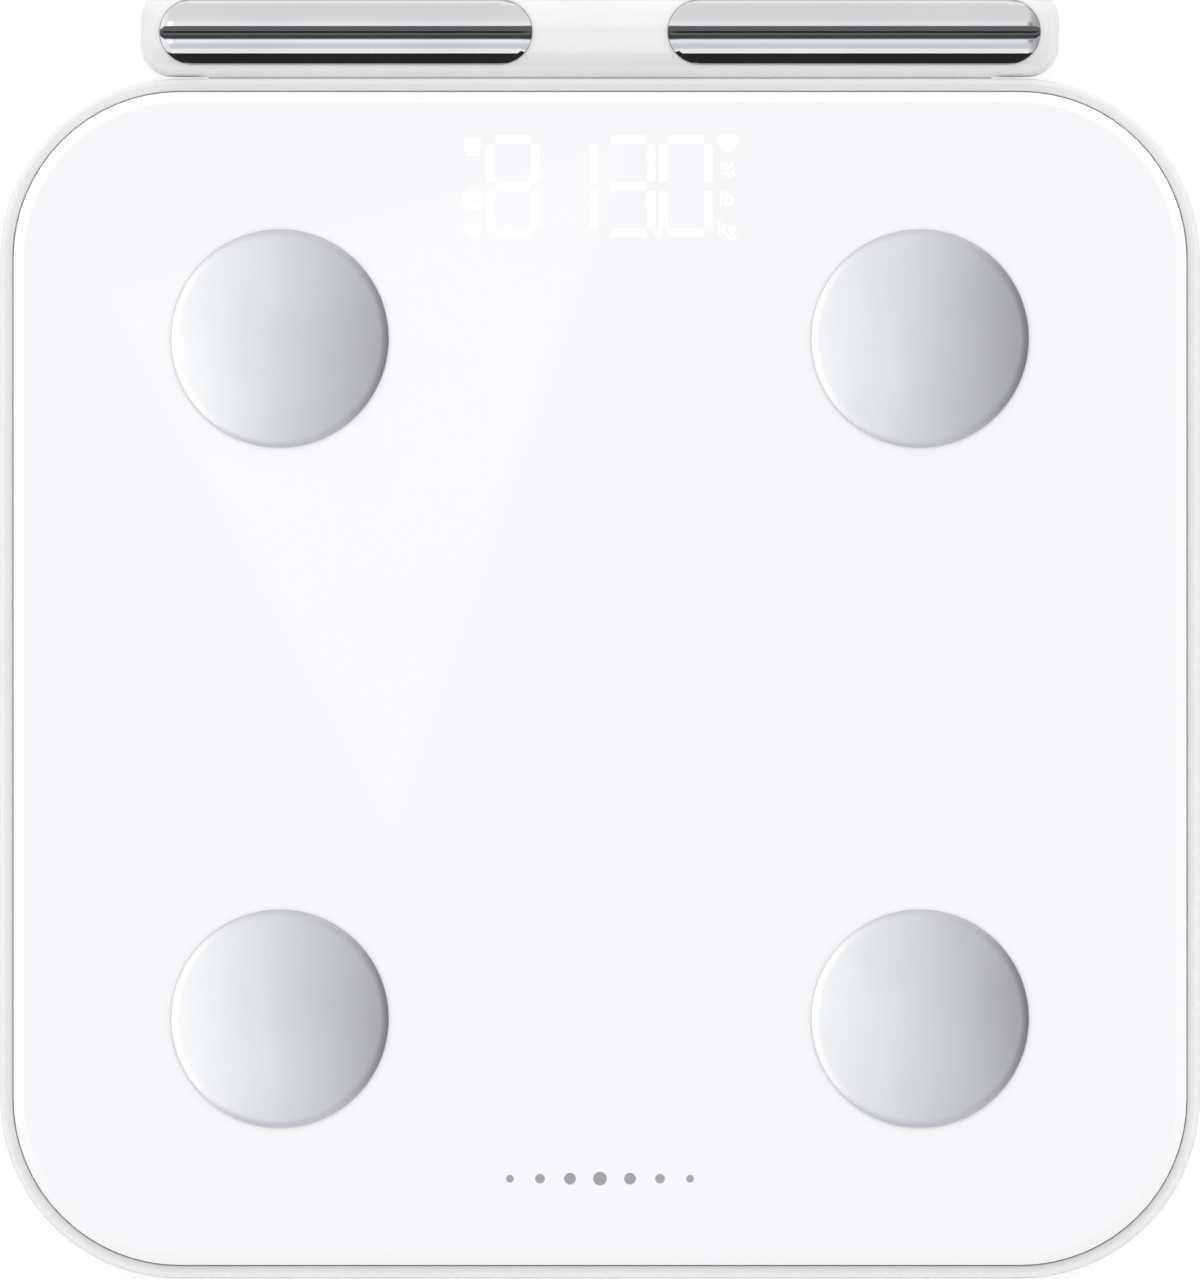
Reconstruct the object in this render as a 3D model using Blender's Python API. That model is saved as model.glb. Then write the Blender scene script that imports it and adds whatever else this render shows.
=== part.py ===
"""An eight-electrode bathroom scale: a glass platform on four weighing feet, and a hand bar that
is docked behind it on a cord, which winds onto a sprung reel inside.

The origin is on the floor, under the middle of the whole object. +Z is up, +X is to the right of
someone standing on the platform, and +Y points at the docked hand bar.
"""

import math

import bmesh
import bpy
from mathutils import Vector

MM = 0.001
GAP = 0.3 * MM  # between two pieces that touch

# Platform, seen from above
PLATFORM = 300 * MM
CORNER = 45 * MM
CORNER_STEPS = 6
GLASS_INSET = 3.4 * MM
GLASS_BEVEL = (2.6 * MM, 1.2 * MM)  # width and height

# Heights above the floor
TRAY_Z = (6.0 * MM, 15.0 * MM)
FLOOR_TOP = 8.5 * MM
RIM_TOP = 24.1 * MM
LEDGE_Z = (18.3 * MM, 20.3 * MM)
LEDGE_INSET = 12.5  # mm, to its inner edge
GLASS_Z = (21.6 * MM, 26.6 * MM)

# Hand bar: a long rounded body, whose section is a superellipse
BAR_LENGTH = 230 * MM
BAR_WIDTH = 22.4 * MM
BAR_HEIGHT = 19.0 * MM
BAR_CORNER = 8 * MM
BAR_GAP = 0.4 * MM
BAR_ROUNDNESS = 2.5
BAR_ARC_STEPS = 10  # along half of the section
BAR_WALL = 1.8 * MM
BAR_CENTRE_Z = 20.0 * MM
PARTING = 0.15 * MM  # half the gap between the two shells

PLATFORM_Y = -(BAR_GAP + BAR_WIDTH) / 2  # centres the whole object on the origin
BAR_Y = PLATFORM / 2 + BAR_GAP + BAR_WIDTH / 2  # from the platform's centre

# Hand electrodes: centre from the middle of the bar, length, width
UPPER_PAD = (63.5 * MM, 93.2 * MM, 16 * MM)
LOWER_PAD = (59 * MM, 70 * MM, 14 * MM)
PAD_PROUD = 0.35 * MM
PAD_THICKNESS = 1.2 * MM
POCKET_DEPTH = 1.2 * MM
STUD_X = 35 * MM
BAR_SCREW_X = (-104 * MM, -14 * MM, 14 * MM, 104 * MM)

# Foot electrodes and feet, from the platform's centre
DISC_X, DISC_Y, DISC_RADIUS = 80 * MM, 85 * MM, 27.5 * MM
FOOT_X, FOOT_Y = 112 * MM, 112 * MM
NECK_RADIUS = 8.2 * MM
CORNERS = {
    "front_left": (-1, -1),
    "front_right": (1, -1),
    "rear_left": (-1, 1),
    "rear_right": (1, 1),
}

# Battery bay, under the platform's middle
BAY_Y = -35 * MM
BAY_X_HALF, BAY_Y_HALF = 26 * MM, 23 * MM
BAY_ROOF = 19.5 * MM
BAY_STEP = 2 * MM  # the door's opening is this much larger all round
DOOR_Z = (6.1 * MM, 7.9 * MM)
CELL_PITCH = 10.9 * MM
CELL_RADIUS = 5.15 * MM
CELL_LENGTH = 44.5 * MM
CELL_Z = 14.05 * MM

# Cord and its reel, whose shaft stands upright in the tray
CORD_RADIUS = 1.1 * MM
REEL_Y = 62 * MM
WINDING_RADII = (14.3 * MM, 22.1 * MM)
PAY_OFF_RADIUS = WINDING_RADII[1] + GAP + CORD_RADIUS
REEL_X = -PAY_OFF_RADIUS  # so the cord leaves along the middle of the platform
REEL_RADIUS = 26.6 * MM
REEL_WALL = (27.4 * MM, 29.0 * MM)
GLAND_TOP = 9.3 * MM
BOOT_BOTTOM = -6.5 * MM  # from the bar's centre

# Display, behind the glass near the bar
DISPLAY_Y = 123 * MM
DIGIT_PITCH, DIGIT_WIDTH, DIGIT_HEIGHT = 14.4 * MM, 11.3 * MM, 23.3 * MM
FIRST_DIGIT_X = -21.7 * MM
STROKE = 2.2 * MM
DISPLAY_CENTRE_X = 1 * MM
DISPLAY_BLOCK = (76 * MM, 27 * MM)

# Main board, with the unit switch under it
BOARD_X, BOARD_Y = 62 * MM, -30 * MM
BOARD_SIZE = (50 * MM, 36 * MM)
BOARD_Z = (13.7 * MM, 15.3 * MM)

# Screws that hold the rim to the tray
RIM_SCREWS = [(x * 137 * MM, y * 60 * MM) for x, y in CORNERS.values()]
RIM_SCREWS += [(x * 60 * MM, y * 137 * MM) for x, y in CORNERS.values()]

COLOURS = {
    "white_shell": ((0.86, 0.86, 0.87), 0.25, 0.0),
    "grey_plastic": ((0.55, 0.56, 0.58), 0.5, 0.0),
    "glass": ((0.92, 0.92, 0.93), 0.05, 0.0),
    "steel": ((0.62, 0.63, 0.65), 0.3, 1.0),
    "chrome": ((0.8, 0.8, 0.82), 0.05, 1.0),
    "spring_steel": ((0.5, 0.5, 0.52), 0.35, 1.0),
    "brass": ((0.75, 0.58, 0.3), 0.3, 1.0),
    "rubber": ((0.16, 0.16, 0.17), 0.8, 0.0),
    "foam": ((0.2, 0.2, 0.21), 0.9, 0.0),
    "circuit_board": ((0.03, 0.22, 0.1), 0.4, 0.0),
    "component": ((0.05, 0.05, 0.055), 0.5, 0.0),
    "cord": ((0.7, 0.7, 0.71), 0.55, 0.0),
    "cell": ((0.12, 0.16, 0.3), 0.35, 0.2),
    "magnet": ((0.4, 0.4, 0.42), 0.3, 1.0),
}


# ---------------------------------------------------------------- tools


def material(name):
    """The Principled material of this name, made on first use."""
    if name in bpy.data.materials:
        return bpy.data.materials[name]
    colour, roughness, metallic = COLOURS[name]
    made = bpy.data.materials.new(name)
    made.use_nodes = True
    shader = made.node_tree.nodes["Principled BSDF"]
    shader.inputs["Base Color"].default_value = (*colour, 1)
    shader.inputs["Roughness"].default_value = roughness
    shader.inputs["Metallic"].default_value = metallic
    return made


def empty(name, location, parent=None):
    """An empty that pieces are placed from."""
    made = bpy.data.objects.new(name, None)
    bpy.context.collection.objects.link(made)
    made.parent = parent
    made.location = location
    return made


def piece(name, bm, finish, parent, location=(0, 0, 0)):
    """A named object from a bmesh, shaded smooth but for its sharp edges."""
    bmesh.ops.remove_doubles(bm, verts=bm.verts, dist=0.001 * MM)
    bmesh.ops.recalc_face_normals(bm, faces=bm.faces)
    mesh = bpy.data.meshes.new(name)
    bm.to_mesh(mesh)
    bm.free()
    mesh.shade_smooth()
    mesh.set_sharp_from_angle(angle=math.radians(35))
    mesh.materials.append(material(finish))
    made = bpy.data.objects.new(name, mesh)
    bpy.context.collection.objects.link(made)
    made.parent = parent
    made.location = location
    return made


def helper(name, bm, parent, location=(0, 0, 0)):
    """A shape that only cuts or joins another piece."""
    made = piece(name, bm, "grey_plastic", parent, location)
    made.hide_render = True
    made.display_type = "WIRE"
    return made


def combine(target, other, operation):
    """A live Boolean modifier."""
    modifier = target.modifiers.new(other.name, "BOOLEAN")
    modifier.operation = operation
    modifier.solver = "EXACT"
    modifier.object = other


def rounded_rectangle(half_x, half_y, radius, steps=CORNER_STEPS):
    """The points of an outline, anticlockwise, with its corners as arcs."""
    points = []
    for turn, (sign_x, sign_y) in enumerate([(1, 1), (-1, 1), (-1, -1), (1, -1)]):
        for step in range(steps + 1):
            angle = math.pi / 2 * (turn + step / steps)
            x = sign_x * (half_x - radius) + radius * math.cos(angle)
            y = sign_y * (half_y - radius) + radius * math.sin(angle)
            points.append((x, y))
    return points


def platform_loop(inset, z):
    """The platform's outline, moved in by inset, at height z."""
    half = PLATFORM / 2 - inset
    return [(x, y, z) for x, y in rounded_rectangle(half, half, CORNER - inset)]


def add_loft(bm, loops, ring=False):
    """Joins each loop of points to the next. The ends are capped, unless the last meets the first."""
    made = [[bm.verts.new(point) for point in loop] for loop in loops]
    pairs = list(zip(made, made[1:]))
    if ring:
        pairs.append((made[-1], made[0]))
    else:
        bm.faces.new(made[0])
        bm.faces.new(made[-1])
    for low, high in pairs:
        for here in range(len(low)):
            there = (here + 1) % len(low)
            bm.faces.new((low[here], low[there], high[there], high[here]))


def add_prism(bm, outline, low, high):
    """An upright prism on a flat outline, by extruding its face."""
    face = bm.faces.new([bm.verts.new((x, y, low)) for x, y in outline])
    grown = bmesh.ops.extrude_face_region(bm, geom=[face])["geom"]
    verts = [item for item in grown if isinstance(item, bmesh.types.BMVert)]
    bmesh.ops.translate(bm, verts=verts, vec=(0, 0, high - low))


def add_box(bm, x, y, z, centre=(0, 0)):
    """A box x by y, between the two heights of z."""
    half_x, half_y = x / 2, y / 2
    cx, cy = centre
    outline = [(cx - half_x, cy - half_y), (cx + half_x, cy - half_y)]
    outline += [(cx + half_x, cy + half_y), (cx - half_x, cy + half_y)]
    add_prism(bm, outline, *z)


def add_turned(bm, profile, sides, centre=(0, 0), ring=False):
    """Spins a profile of (radius, height) points about an upright axis. A ring's profile closes."""
    cx, cy = centre
    half_step = math.pi / sides
    across, along = math.cos(half_step), math.sin(half_step)
    verts = [bm.verts.new((cx + radius * across, cy + radius * along, z)) for radius, z in profile]
    edges = [bm.edges.new(pair) for pair in zip(verts, verts[1:])]
    if ring:
        edges.append(bm.edges.new((verts[-1], verts[0])))
    bmesh.ops.spin(
        bm,
        geom=verts + edges,
        cent=(cx, cy, 0),
        axis=(0, 0, 1),
        angle=2 * math.pi,
        steps=sides,
        use_merge=True,
    )
    bmesh.ops.remove_doubles(bm, verts=bm.verts, dist=0.001 * MM)


def add_cylinder(bm, radius, z, centre=(0, 0), sides=16):
    """An upright cylinder between the two heights of z."""
    low, high = z
    add_turned(bm, [(0, low), (radius, low), (radius, high), (0, high)], sides, centre)


def add_washer(bm, radii, z, centre=(0, 0), sides=24):
    """An upright ring between two radii."""
    (inner, outer), (low, high) = radii, z
    profile = [(inner, low), (outer, low), (outer, high), (inner, high)]
    add_turned(bm, profile, sides, centre, ring=True)


def smooth_route(points, spacing):
    """Points every spacing or so along a smooth curve through the given ones (Catmull-Rom)."""
    ends = [points[0], *points, points[-1]]
    found = []
    for before, start, end, after in zip(ends, ends[1:], ends[2:], ends[3:]):
        steps = max(1, round(math.dist(start, end) / spacing))
        for step in range(steps):
            t = step / steps
            found.append(
                [
                    b + 0.5 * t * (c - a + t * (2 * a - 5 * b + 4 * c - d + t * (3 * (b - c) + d - a)))
                    for a, b, c, d in zip(before, start, end, after)
                ]
            )
    return [*found, points[-1]]


def add_tube(bm, route, radius, sides=6):
    """A round tube with closed ends along a route."""
    points = [Vector(point) for point in route]
    across = None
    loops = []
    for index, point in enumerate(points):
        ahead = points[min(index + 1, len(points) - 1)] - points[max(index - 1, 0)]
        along = ahead.normalized()
        across = along.orthogonal() if across is None else across - along * across.dot(along)
        across.normalize()
        other = along.cross(across)
        turns = [math.tau * step / sides for step in range(sides)]
        loops.append([point + radius * (math.cos(t) * across + math.sin(t) * other) for t in turns])
    add_loft(bm, loops)


def in_metres(points):
    """Points given in millimetres, in metres."""
    return [[value * MM for value in point] for point in points]


def cord_tube(name, route, finish, parent):
    """The cord's round tube with closed ends along its route."""
    curve = bpy.data.curves.new(name, "CURVE")
    curve.dimensions = "3D"
    curve.bevel_depth = CORD_RADIUS
    curve.bevel_resolution = 2
    curve.use_fill_caps = True
    spline = curve.splines.new("POLY")
    spline.points.add(len(route) - 1)
    for point, place in zip(spline.points, route):
        point.co = (*place, 1)
    curve.materials.append(material(finish))
    made = bpy.data.objects.new(name, curve)
    bpy.context.collection.objects.link(made)
    made.parent = parent


# ---------------------------------------------------------------- platform


def base_tray(platform):
    """The lower moulding: a shallow tray with the battery bay, posts and the cradle for the bar."""
    low, high = TRAY_Z
    outside = [(9.0, low), (4.0, low + 1.2 * MM), (1.6, low + 4 * MM), (0.8, high)]
    inside = [(3.4, high), (4.2, FLOOR_TOP + 2 * MM), (6.5, FLOOR_TOP)]
    bm = bmesh.new()
    add_loft(bm, [platform_loop(inset * MM, z) for inset, z in outside + inside])
    tray = piece("base_tray", bm, "white_shell", platform)
    combine(tray, tray_additions(platform), "UNION")
    combine(tray, cradle_block(platform), "UNION")
    for cutter in (tray_cutters(platform), fine_cutters(platform), cradle_cutter(platform)):
        combine(tray, cutter, "DIFFERENCE")


def tray_additions(platform):
    """What stands on the tray's floor: bay walls, posts, and the blocks under the load cells."""
    bm = bmesh.new()
    wall = 1.8 * MM
    root = FLOOR_TOP - 0.7 * MM
    bay = (2 * (BAY_X_HALF + wall), 2 * (BAY_Y_HALF + wall))
    add_box(bm, *bay, (root, BAY_ROOF + 1.5 * MM), (0, BAY_Y))
    for centre in RIM_SCREWS:
        add_cylinder(bm, 5 * MM, (root, 10.4 * MM), centre, sides=10)
    for sign_x, sign_y in CORNERS.values():
        post = (BOARD_X + sign_x * 21 * MM, BOARD_Y + sign_y * 14 * MM)
        add_cylinder(bm, 2.5 * MM, (root, BOARD_Z[0] - GAP), post, sides=8)
        for side in (-1, 1):
            block = (sign_x * FOOT_X + side * 12.5 * MM, sign_y * FOOT_Y)
            add_box(bm, 4 * MM, 28 * MM, (root, 11 * MM), block)
    return helper("tray_additions", bm, platform)


def cradle_block(platform):
    """The ledge behind the tray that the bar rests on, with its root under the tray's floor."""
    profile = [(128, 4.8), (168, 4.8), (168, 12.5), (146, 12.5), (146, 8.0), (128, 8.0)]
    bm = bmesh.new()
    add_loft(bm, [[(x, y * MM, z * MM) for y, z in profile] for x in (-98 * MM, 98 * MM)])
    return helper("cradle_block", bm, platform)


def tray_cutters(platform):
    """Openings in the tray's floor: the bay, the foot necks, the screws, the button and the cord."""
    bm = bmesh.new()
    opening = (BAY_X_HALF + BAY_STEP, BAY_Y_HALF + BAY_STEP)
    sizes = [(opening, 4), (opening, 8.2), ((BAY_X_HALF, BAY_Y_HALF), 8.2)]
    sizes.append(((BAY_X_HALF, BAY_Y_HALF), BAY_ROOF / MM))
    loops = []
    for (x, y), z in sizes:
        outline = [(-x, -y), (x, -y), (x, y), (-x, y)]
        loops.append([(a, BAY_Y + b, z * MM) for a, b in outline])
    add_loft(bm, loops)
    for sign_x, sign_y in CORNERS.values():
        neck = (sign_x * FOOT_X, sign_y * FOOT_Y)
        add_cylinder(bm, NECK_RADIUS + 0.8 * MM, (4 * MM, 10 * MM), neck)
    for centre in RIM_SCREWS:
        profile = [(0, 4), (3.2, 4), (3.2, 8.4), (1.8, 8.4), (1.8, 12), (0, 12)]
        add_turned(bm, [(r * MM, z * MM) for r, z in profile], 8, centre)
    add_cylinder(bm, 4.4 * MM, (4 * MM, 10 * MM), (BOARD_X, BOARD_Y), sides=16)
    profile = [(134, 6), (163.8, 6), (163.8, 8.7), (151.5, 8.7), (151.5, 10.6), (134, 10.6)]
    add_loft(bm, [[(x, y * MM, z * MM) for y, z in profile] for x in (-1.8 * MM, 1.8 * MM)])
    for side in (-1, 1):
        add_box(bm, 20.8 * MM, 7.8 * MM, (4 * MM, 7.7 * MM), (side * LOWER_PAD[0], BAR_Y))
    return helper("tray_cutters", bm, platform)


def fine_cutters(platform):
    """The seat of the cord gland, and the two notches that take the door's pins."""
    bm = bmesh.new()
    add_cylinder(bm, 4.1 * MM, (7.9 * MM, 14 * MM), (0, BAR_Y), sides=16)
    for side in (-1, 1):
        notch = (side * (BAY_X_HALF + BAY_STEP + 0.9 * MM), hinge_y())
        add_box(bm, 2.6 * MM, 2.4 * MM, (4 * MM, 8.05 * MM), notch)
    return helper("fine_cutters", bm, platform)


def cradle_cutter(platform):
    """The room for the bar and its proud lower pads, out of the ledge."""
    bm = bmesh.new()
    add_loft(bm, bar_loops(-1, PAD_PROUD * 2, 20 * MM))
    return helper("cradle_cutter", bm, platform, (0, BAR_Y, BAR_CENTRE_Z))


def rim_frame(platform):
    """The visible rim, with the ledge that carries the glass and the screw bosses below it."""
    low, high = LEDGE_Z
    top = RIM_TOP
    profile = [(0.6, TRAY_Z[1] + GAP), (0.0, TRAY_Z[1] + 1.5 * MM), (0.0, top - 1.5 * MM)]
    profile += [(0.35, top - 0.5 * MM), (1.2, top), (3.1, top - 0.8 * MM), (3.1, high)]
    profile += [(LEDGE_INSET, high), (LEDGE_INSET, low), (3.8, low), (3.8, TRAY_Z[1] + GAP)]
    bm = bmesh.new()
    add_loft(bm, [platform_loop(inset * MM, z) for inset, z in profile], ring=True)
    rim = piece("rim_frame", bm, "white_shell", platform)
    bosses = bmesh.new()
    holes = bmesh.new()
    for centre in RIM_SCREWS:
        add_cylinder(bosses, 3.5 * MM, (10.7 * MM, low + 1 * MM), centre, sides=8)
        add_cylinder(holes, 1.6 * MM, (9 * MM, 17 * MM), centre, sides=6)
    combine(rim, helper("rim_bosses", bosses, platform), "UNION")
    combine(rim, helper("rim_holes", holes, platform), "DIFFERENCE")


def glass_plate(platform):
    """The toughened glass, bevelled round its top edge, with a hole for each foot electrode."""
    low, high = GLASS_Z
    width, height = GLASS_BEVEL
    levels = [(0.5 * MM, low), (0, low + 0.5 * MM), (0, high - height), (width, high)]
    bm = bmesh.new()
    add_loft(bm, [platform_loop(GLASS_INSET + inset, z) for inset, z in levels])
    glass = piece("glass_plate", bm, "glass", platform)
    holes = bmesh.new()
    for sign_x, sign_y in CORNERS.values():
        centre = (sign_x * DISC_X, sign_y * DISC_Y)
        add_cylinder(holes, 2.6 * MM, (low - 1 * MM, high + 1 * MM), centre, sides=12)
    combine(glass, helper("glass_holes", holes, platform), "DIFFERENCE")


def glass_tape(platform):
    """The foam tape that bonds the glass to the rim's ledge."""
    low, high = LEDGE_Z[1] + GAP, GLASS_Z[0] - GAP
    levels = [(4.4 * MM, low), (4.4 * MM, high), (12 * MM, high), (12 * MM, low)]
    bm = bmesh.new()
    add_loft(bm, [platform_loop(inset, z) for inset, z in levels], ring=True)
    piece("glass_tape", bm, "foam", platform)


def foot_electrodes(platform):
    """Four shallow steel discs on the glass, each with a stem through it, and their nuts below."""
    top = GLASS_Z[1] + GAP
    edge = top + 0.7 * MM
    radius = DISC_RADIUS
    profile = [(0, 17.5 * MM), (2 * MM, 17.5 * MM), (2 * MM, top), (radius - 0.3 * MM, top)]
    profile += [(radius, top + 0.3 * MM), (radius - 0.35 * MM, edge)]
    profile += [(radius * 0.5, edge + 0.4 * MM), (0, edge + 0.53 * MM)]
    for corner, (sign_x, sign_y) in CORNERS.items():
        centre = (sign_x * DISC_X, sign_y * DISC_Y, 0)
        bm = bmesh.new()
        add_turned(bm, profile, 24)
        piece("foot_electrode_" + corner, bm, "steel", platform, centre)
        bm = bmesh.new()
        add_washer(bm, (2.3 * MM, 4.4 * MM), (18.6 * MM, GLASS_Z[0] - GAP), sides=6)
        piece("electrode_nut_" + corner, bm, "brass", platform, centre)


# ---------------------------------------------------------------- feet


def foot(corner, sign_x, sign_y, platform):
    """One weighing foot: its rubber pad and housing, and the load cell above them."""
    place = empty("foot_" + corner, (sign_x * FOOT_X, sign_y * FOOT_Y, 0), platform)
    bm = bmesh.new()
    profile = [(0, 0), (14.6, 0), (15.5, 0.9), (15.5, 2.6), (0, 2.6)]
    add_turned(bm, [(r * MM, z * MM) for r, z in profile], 16)
    piece("foot_pad_" + corner, bm, "rubber", place)
    bm = bmesh.new()
    profile = [(0, 2.9), (17, 2.9), (17, 4.6), (16.4, 5.2)]
    profile += [(NECK_RADIUS / MM, 5.2), (NECK_RADIUS / MM, 10.4), (0, 10.4)]
    add_turned(bm, [(r * MM, z * MM) for r, z in profile], 16)
    piece("foot_housing_" + corner, bm, "grey_plastic", place)
    bm = bmesh.new()
    add_box(bm, 30 * MM, 30 * MM, (11.3 * MM, 13.5 * MM))
    cell = piece("load_cell_" + corner, bm, "spring_steel", place)
    slot = bmesh.new()
    outline = [(-9, -11), (9, -11), (9, 9), (6.6, 9), (6.6, -8.6), (-6.6, -8.6), (-6.6, 9), (-9, 9)]
    add_prism(slot, [(x * MM, y * MM) for x, y in outline], 10 * MM, 15 * MM)
    combine(cell, helper("cell_slot_" + corner, slot, place), "DIFFERENCE")


# ---------------------------------------------------------------- power and electronics


def hinge_y():
    """Where the battery door's pins lie, at the rear edge of its opening."""
    return BAY_Y + BAY_Y_HALF + BAY_STEP - 1.4 * MM


def battery_door(platform):
    """The hinged door under the batteries, with two pins at its rear and a latch at its front."""
    low, high = DOOR_Z
    round_edge = (high - low) / 2
    axis = empty("door_hinge", (0, hinge_y(), low + round_edge), platform)
    half = BAY_X_HALF + BAY_STEP - GAP
    front = BAY_Y - BAY_Y_HALF - BAY_STEP + GAP - hinge_y()
    profile = [(front, round_edge), (front, -round_edge)]
    for step in range(7):
        angle = math.pi * (step / 6 - 0.5)
        profile.append((round_edge * math.cos(angle), round_edge * math.sin(angle)))
    bm = bmesh.new()
    add_loft(bm, [[(x, y, z) for y, z in profile] for x in (-half, half)])
    door = piece("battery_door", bm, "white_shell", axis)
    extras = bmesh.new()
    add_box(extras, 12 * MM, 1.4 * MM, (0, 4.2 * MM), (0, front + 3.2 * MM))
    pins = []
    for side in (-1, 1):
        loops = []
        for x in (half - 1 * MM, half + 1.4 * MM):
            turns = [math.tau * step / 10 for step in range(10)]
            ring = [(side * x, 0.7 * MM * math.cos(turn), 0.7 * MM * math.sin(turn)) for turn in turns]
            loops.append(ring)
        pins.append(loops)
    for loops in pins:
        add_loft(extras, loops)
    combine(door, helper("door_extras", extras, axis), "UNION")


def cell_places():
    """Each cell's sign, which end its positive contact faces, and its place across the bay."""
    for index in range(4):
        yield index, (-1) ** index, BAY_Y + (index - 1.5) * CELL_PITCH


def batteries(platform):
    """Four AAA cells, side by side, with every second one turned round."""
    nub = 1.0 * MM
    contact = BAY_X_HALF - 1.1 * MM
    for index, sign, y in cell_places():
        profile = [(0, 0), (CELL_RADIUS, 0), (CELL_RADIUS, CELL_LENGTH - nub)]
        profile += [(1.9 * MM, CELL_LENGTH - nub), (1.9 * MM, CELL_LENGTH), (0, CELL_LENGTH)]
        bm = bmesh.new()
        add_turned(bm, profile, 14)
        made = piece(f"battery_{index + 1}", bm, "cell", platform)
        made.location = (sign * (contact - CELL_LENGTH), y, CELL_Z)
        made.rotation_euler = (0, sign * math.pi / 2, 0)


def battery_contacts(platform):
    """A small upright board at each end of the cells, with a conical spring for each negative end."""
    for name, side in (("left", -1), ("right", 1)):
        bm = bmesh.new()
        heights = (CELL_Z - 4.5 * MM, CELL_Z + 4.5 * MM)
        add_box(bm, 0.5 * MM, 43 * MM, heights, (side * (BAY_X_HALF - 0.6 * MM), BAY_Y))
        board = piece("battery_contacts_" + name, bm, "brass", platform)
        springs = bmesh.new()
        for _, sign, y in cell_places():
            if sign == -side:
                add_tube(springs, spring_route(side, y), 0.35 * MM, sides=4)
        combine(board, helper("springs_" + name, springs, platform), "UNION")


def spring_route(side, y):
    """A conical coil between a contact board and the flat end of its cell."""
    turns, steps = 2.25, 14
    outer = BAY_X_HALF - 1.6 * MM
    inner = CELL_LENGTH - (BAY_X_HALF - 1.1 * MM) + 0.7 * MM
    route = [(side * (BAY_X_HALF - 0.6 * MM), y + 3.6 * MM, CELL_Z)]
    for step in range(steps + 1):
        part = step / steps
        angle = math.tau * turns * part
        radius = (3.6 - 1.4 * part) * MM
        x = side * (outer + (inner - outer) * part)
        route.append((x, y + radius * math.cos(angle), CELL_Z + radius * math.sin(angle)))
    return route


def main_board(platform):
    """The weighing and measuring circuit, on the tray's posts, with its components."""
    centre = (BOARD_X, BOARD_Y)
    bm = bmesh.new()
    add_box(bm, *BOARD_SIZE, BOARD_Z, centre)
    board = piece("main_board", bm, "circuit_board", platform)
    root = BOARD_Z[1] - GAP
    bm = bmesh.new()
    chips = [(8, 8, 1.0, 0, 2), (5, 4, 1.2, 12, 6), (5, 4, 1.2, 12, -6), (3.2, 1.5, 1.0, -10, -8)]
    chips += [(3.2, 1.5, 1.0, -10, -4), (12, 5, 4.2, -14, 13), (12, 5, 4.2, 6, 13), (5, 10, 4.2, -21, 0)]
    for x, y, height, offset_x, offset_y in chips:
        place = (BOARD_X + offset_x * MM, BOARD_Y + offset_y * MM)
        add_box(bm, x * MM, y * MM, (root, root + height * MM), place)
    combine(board, helper("board_components", bm, platform), "UNION")


def unit_controls(platform):
    """The push switch under the board, and the button that reaches it through the tray."""
    bm = bmesh.new()
    low = BOARD_Z[0] - GAP
    profile = [(0, 10.7), (1.6, 10.7), (1.6, 11.4), (3.2, 11.4), (3.2, low / MM), (0, low / MM)]
    add_turned(bm, [(r * MM, z * MM) for r, z in profile], 12, (BOARD_X, BOARD_Y))
    piece("unit_switch", bm, "component", platform)
    bm = bmesh.new()
    profile = [(0, 6.2), (3.6, 6.2), (4.0, 6.6), (4.0, 8.8), (5.4, 8.8), (5.4, 9.3)]
    profile += [(1.5, 9.3), (1.5, 9.7), (0, 9.7)]
    add_turned(bm, [(r * MM, z * MM) for r, z in profile], 16)
    piece("unit_button", bm, "grey_plastic", platform, (BOARD_X, BOARD_Y, 0))


def display_marks():
    """The centre and size of every lit mark: seven strokes for each digit, and a point."""
    for digit in range(4):
        x = FIRST_DIGIT_X + digit * DIGIT_PITCH
        for level in (-1, 0, 1):
            yield x, DISPLAY_Y + level * DIGIT_HEIGHT / 2, DIGIT_WIDTH - 1.5 * STROKE, STROKE
        for side in (-1, 1):
            for level in (-1, 1):
                centre = DISPLAY_Y + level * DIGIT_HEIGHT / 4
                yield x + side * DIGIT_WIDTH / 2, centre, STROKE, DIGIT_HEIGHT / 2 - 1.5 * STROKE
    between = FIRST_DIGIT_X + 2.5 * DIGIT_PITCH
    yield between + 0.1 * MM, DISPLAY_Y - DIGIT_HEIGHT / 2, 1.2 * MM, 1.2 * MM


def display(platform):
    """The display: a block with a light well for each mark, a diffuser on it and the lamps' board."""
    centre = (DISPLAY_CENTRE_X, DISPLAY_Y)
    bm = bmesh.new()
    add_box(bm, *DISPLAY_BLOCK, (13.1 * MM, 20.4 * MM), centre)
    block = piece("display_housing", bm, "white_shell", platform)
    wells = bmesh.new()
    for x, y, width, depth in display_marks():
        add_box(wells, width, depth, (12 * MM, 22 * MM), (x, y))
    combine(block, helper("display_wells", wells, platform), "DIFFERENCE")
    bm = bmesh.new()
    add_box(bm, *DISPLAY_BLOCK, (20.7 * MM, GLASS_Z[0] - GAP), centre)
    piece("display_diffuser", bm, "glass", platform)
    bm = bmesh.new()
    add_box(bm, *DISPLAY_BLOCK, (11.6 * MM, 12.8 * MM), centre)
    board = piece("display_board", bm, "circuit_board", platform)
    lamps = bmesh.new()
    for digit in range(4):
        for level in (-1, 1):
            place = (FIRST_DIGIT_X + digit * DIGIT_PITCH, DISPLAY_Y + level * DIGIT_HEIGHT / 2)
            add_box(lamps, 1.6 * MM, 1.2 * MM, (12.4 * MM, 13.4 * MM), place)
    combine(board, helper("display_lamps", lamps, platform), "UNION")


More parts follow.
